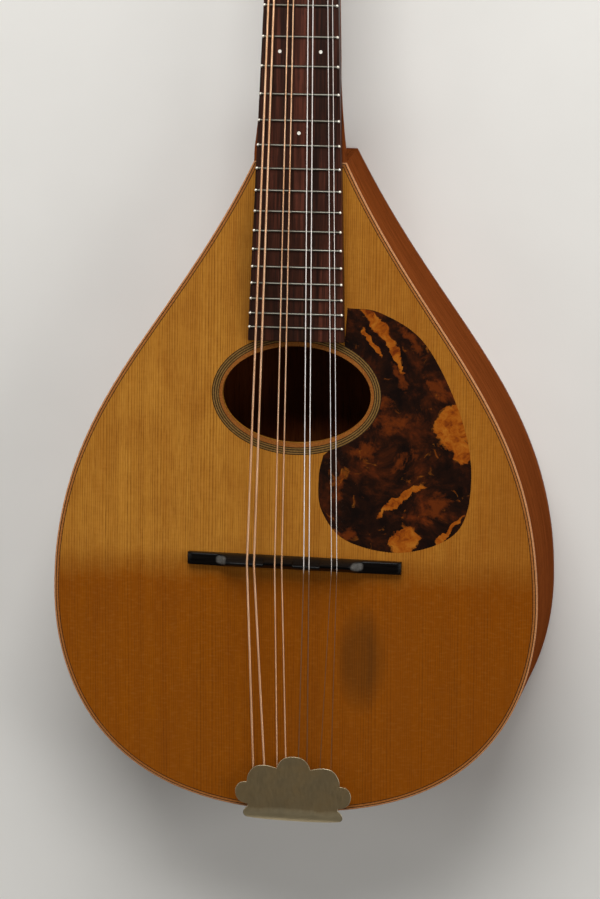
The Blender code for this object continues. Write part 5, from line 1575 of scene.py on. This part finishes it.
def wire(name, path, radius, look, replaces=()):
    """A round wire along a path."""
    mesh = curve_mesh(name, [path], False, dimensions="3D", bevel_depth=radius, bevel_resolution=3,
                      use_fill_caps=True)
    piece(name, mesh, look, replaces=replaces, sharp=70)


def hook_loop(name, x, radius, look):
    """The closed loop at the string's end, round its hook."""
    wire_radius = min(radius, LOOP_WIRE_RADIUS)
    ring_radius = HOOK_RADIUS + HOOK_GAP + wire_radius
    centre = Vector((x * MM, HOOK_Y, BODY_DEPTH + STRING_HEIGHT_AT_HOOK))
    path = [centre + polar(ring_radius, math.radians(360 * i / LOOP_POINTS - 90)).to_3d()
            for i in range(LOOP_POINTS)]
    wire(name + "_loop", path + path[:1], wire_radius, look)


def strings():
    for name, diameter, x_tail, x_bridge, x_nut, post in STRINGS:
        radius = diameter * MM / 2
        look = BRONZE if x_bridge < 0 else STEEL_WIRE
        path = string_path(radius, x_tail, x_bridge, x_nut, post)
        wire(name + "_wire", path, radius, look, [name])
        hook_loop(name, x_tail, radius, STEEL_WIRE)


# Stage, light and camera

def stage():
    floor = linked("floor", mesh_from("floor", lambda bm: bmesh.ops.create_grid(bm, size=FLOOR_SIZE)))
    floor.data.materials.append(floor_look()[0])


def soft_box(name, place, target, size, watts):
    lamp = bpy.data.lights.new(name, "AREA")
    lamp.shape = "RECTANGLE"
    lamp.size, lamp.size_y = size
    lamp.energy = watts
    obj = linked(name, lamp)
    obj.location = place
    obj.rotation_euler = (Vector(target) - Vector(place)).to_track_quat("-Z", "Y").to_euler()


def light():
    """A soft box beyond the headstock, weaker ones at both sides, and a dim even surround."""
    for lamp in LAMPS:
        soft_box(*lamp)
    world = bpy.data.worlds.new("surround")
    world.use_nodes = True
    background = world.node_tree.nodes["Background"]
    background.inputs["Color"].default_value = SURROUND_COLOUR
    background.inputs["Strength"].default_value = SURROUND_STRENGTH
    bpy.context.scene.world = world
    bpy.context.scene.view_settings.view_transform = "Standard"


def camera():
    turn = (Matrix.Rotation(CAMERA_YAW, 3, "Y") @ Matrix.Rotation(CAMERA_PITCH, 3, "X")
            @ Matrix.Rotation(CAMERA_ROLL, 3, "Z"))
    lens = bpy.data.cameras.new("camera")
    lens.sensor_width = SENSOR_WIDTH
    lens.lens = CAMERA_FOCUS / PHOTO_LONG_SIDE * SENSOR_WIDTH
    lens.clip_end = CAMERA_REACH
    obj = linked("camera", lens)
    obj.matrix_world = MOVED(CAMERA_TARGET - turn @ CAMERA_OFFSET) @ turn.to_4x4()
    bpy.context.scene.camera = obj


def main():
    for make in (soundboard, edge_lines, rosette, pickguard, ribs, back, inner_wood, neck, fretboard, frets,
                 fret_ends, dots, nut, headstock_veneer, bridge, tailpiece_base, tailpiece_cover,
                 tuner_plates, bushings, tuners, strings, stage, light, camera):
        make()


main()
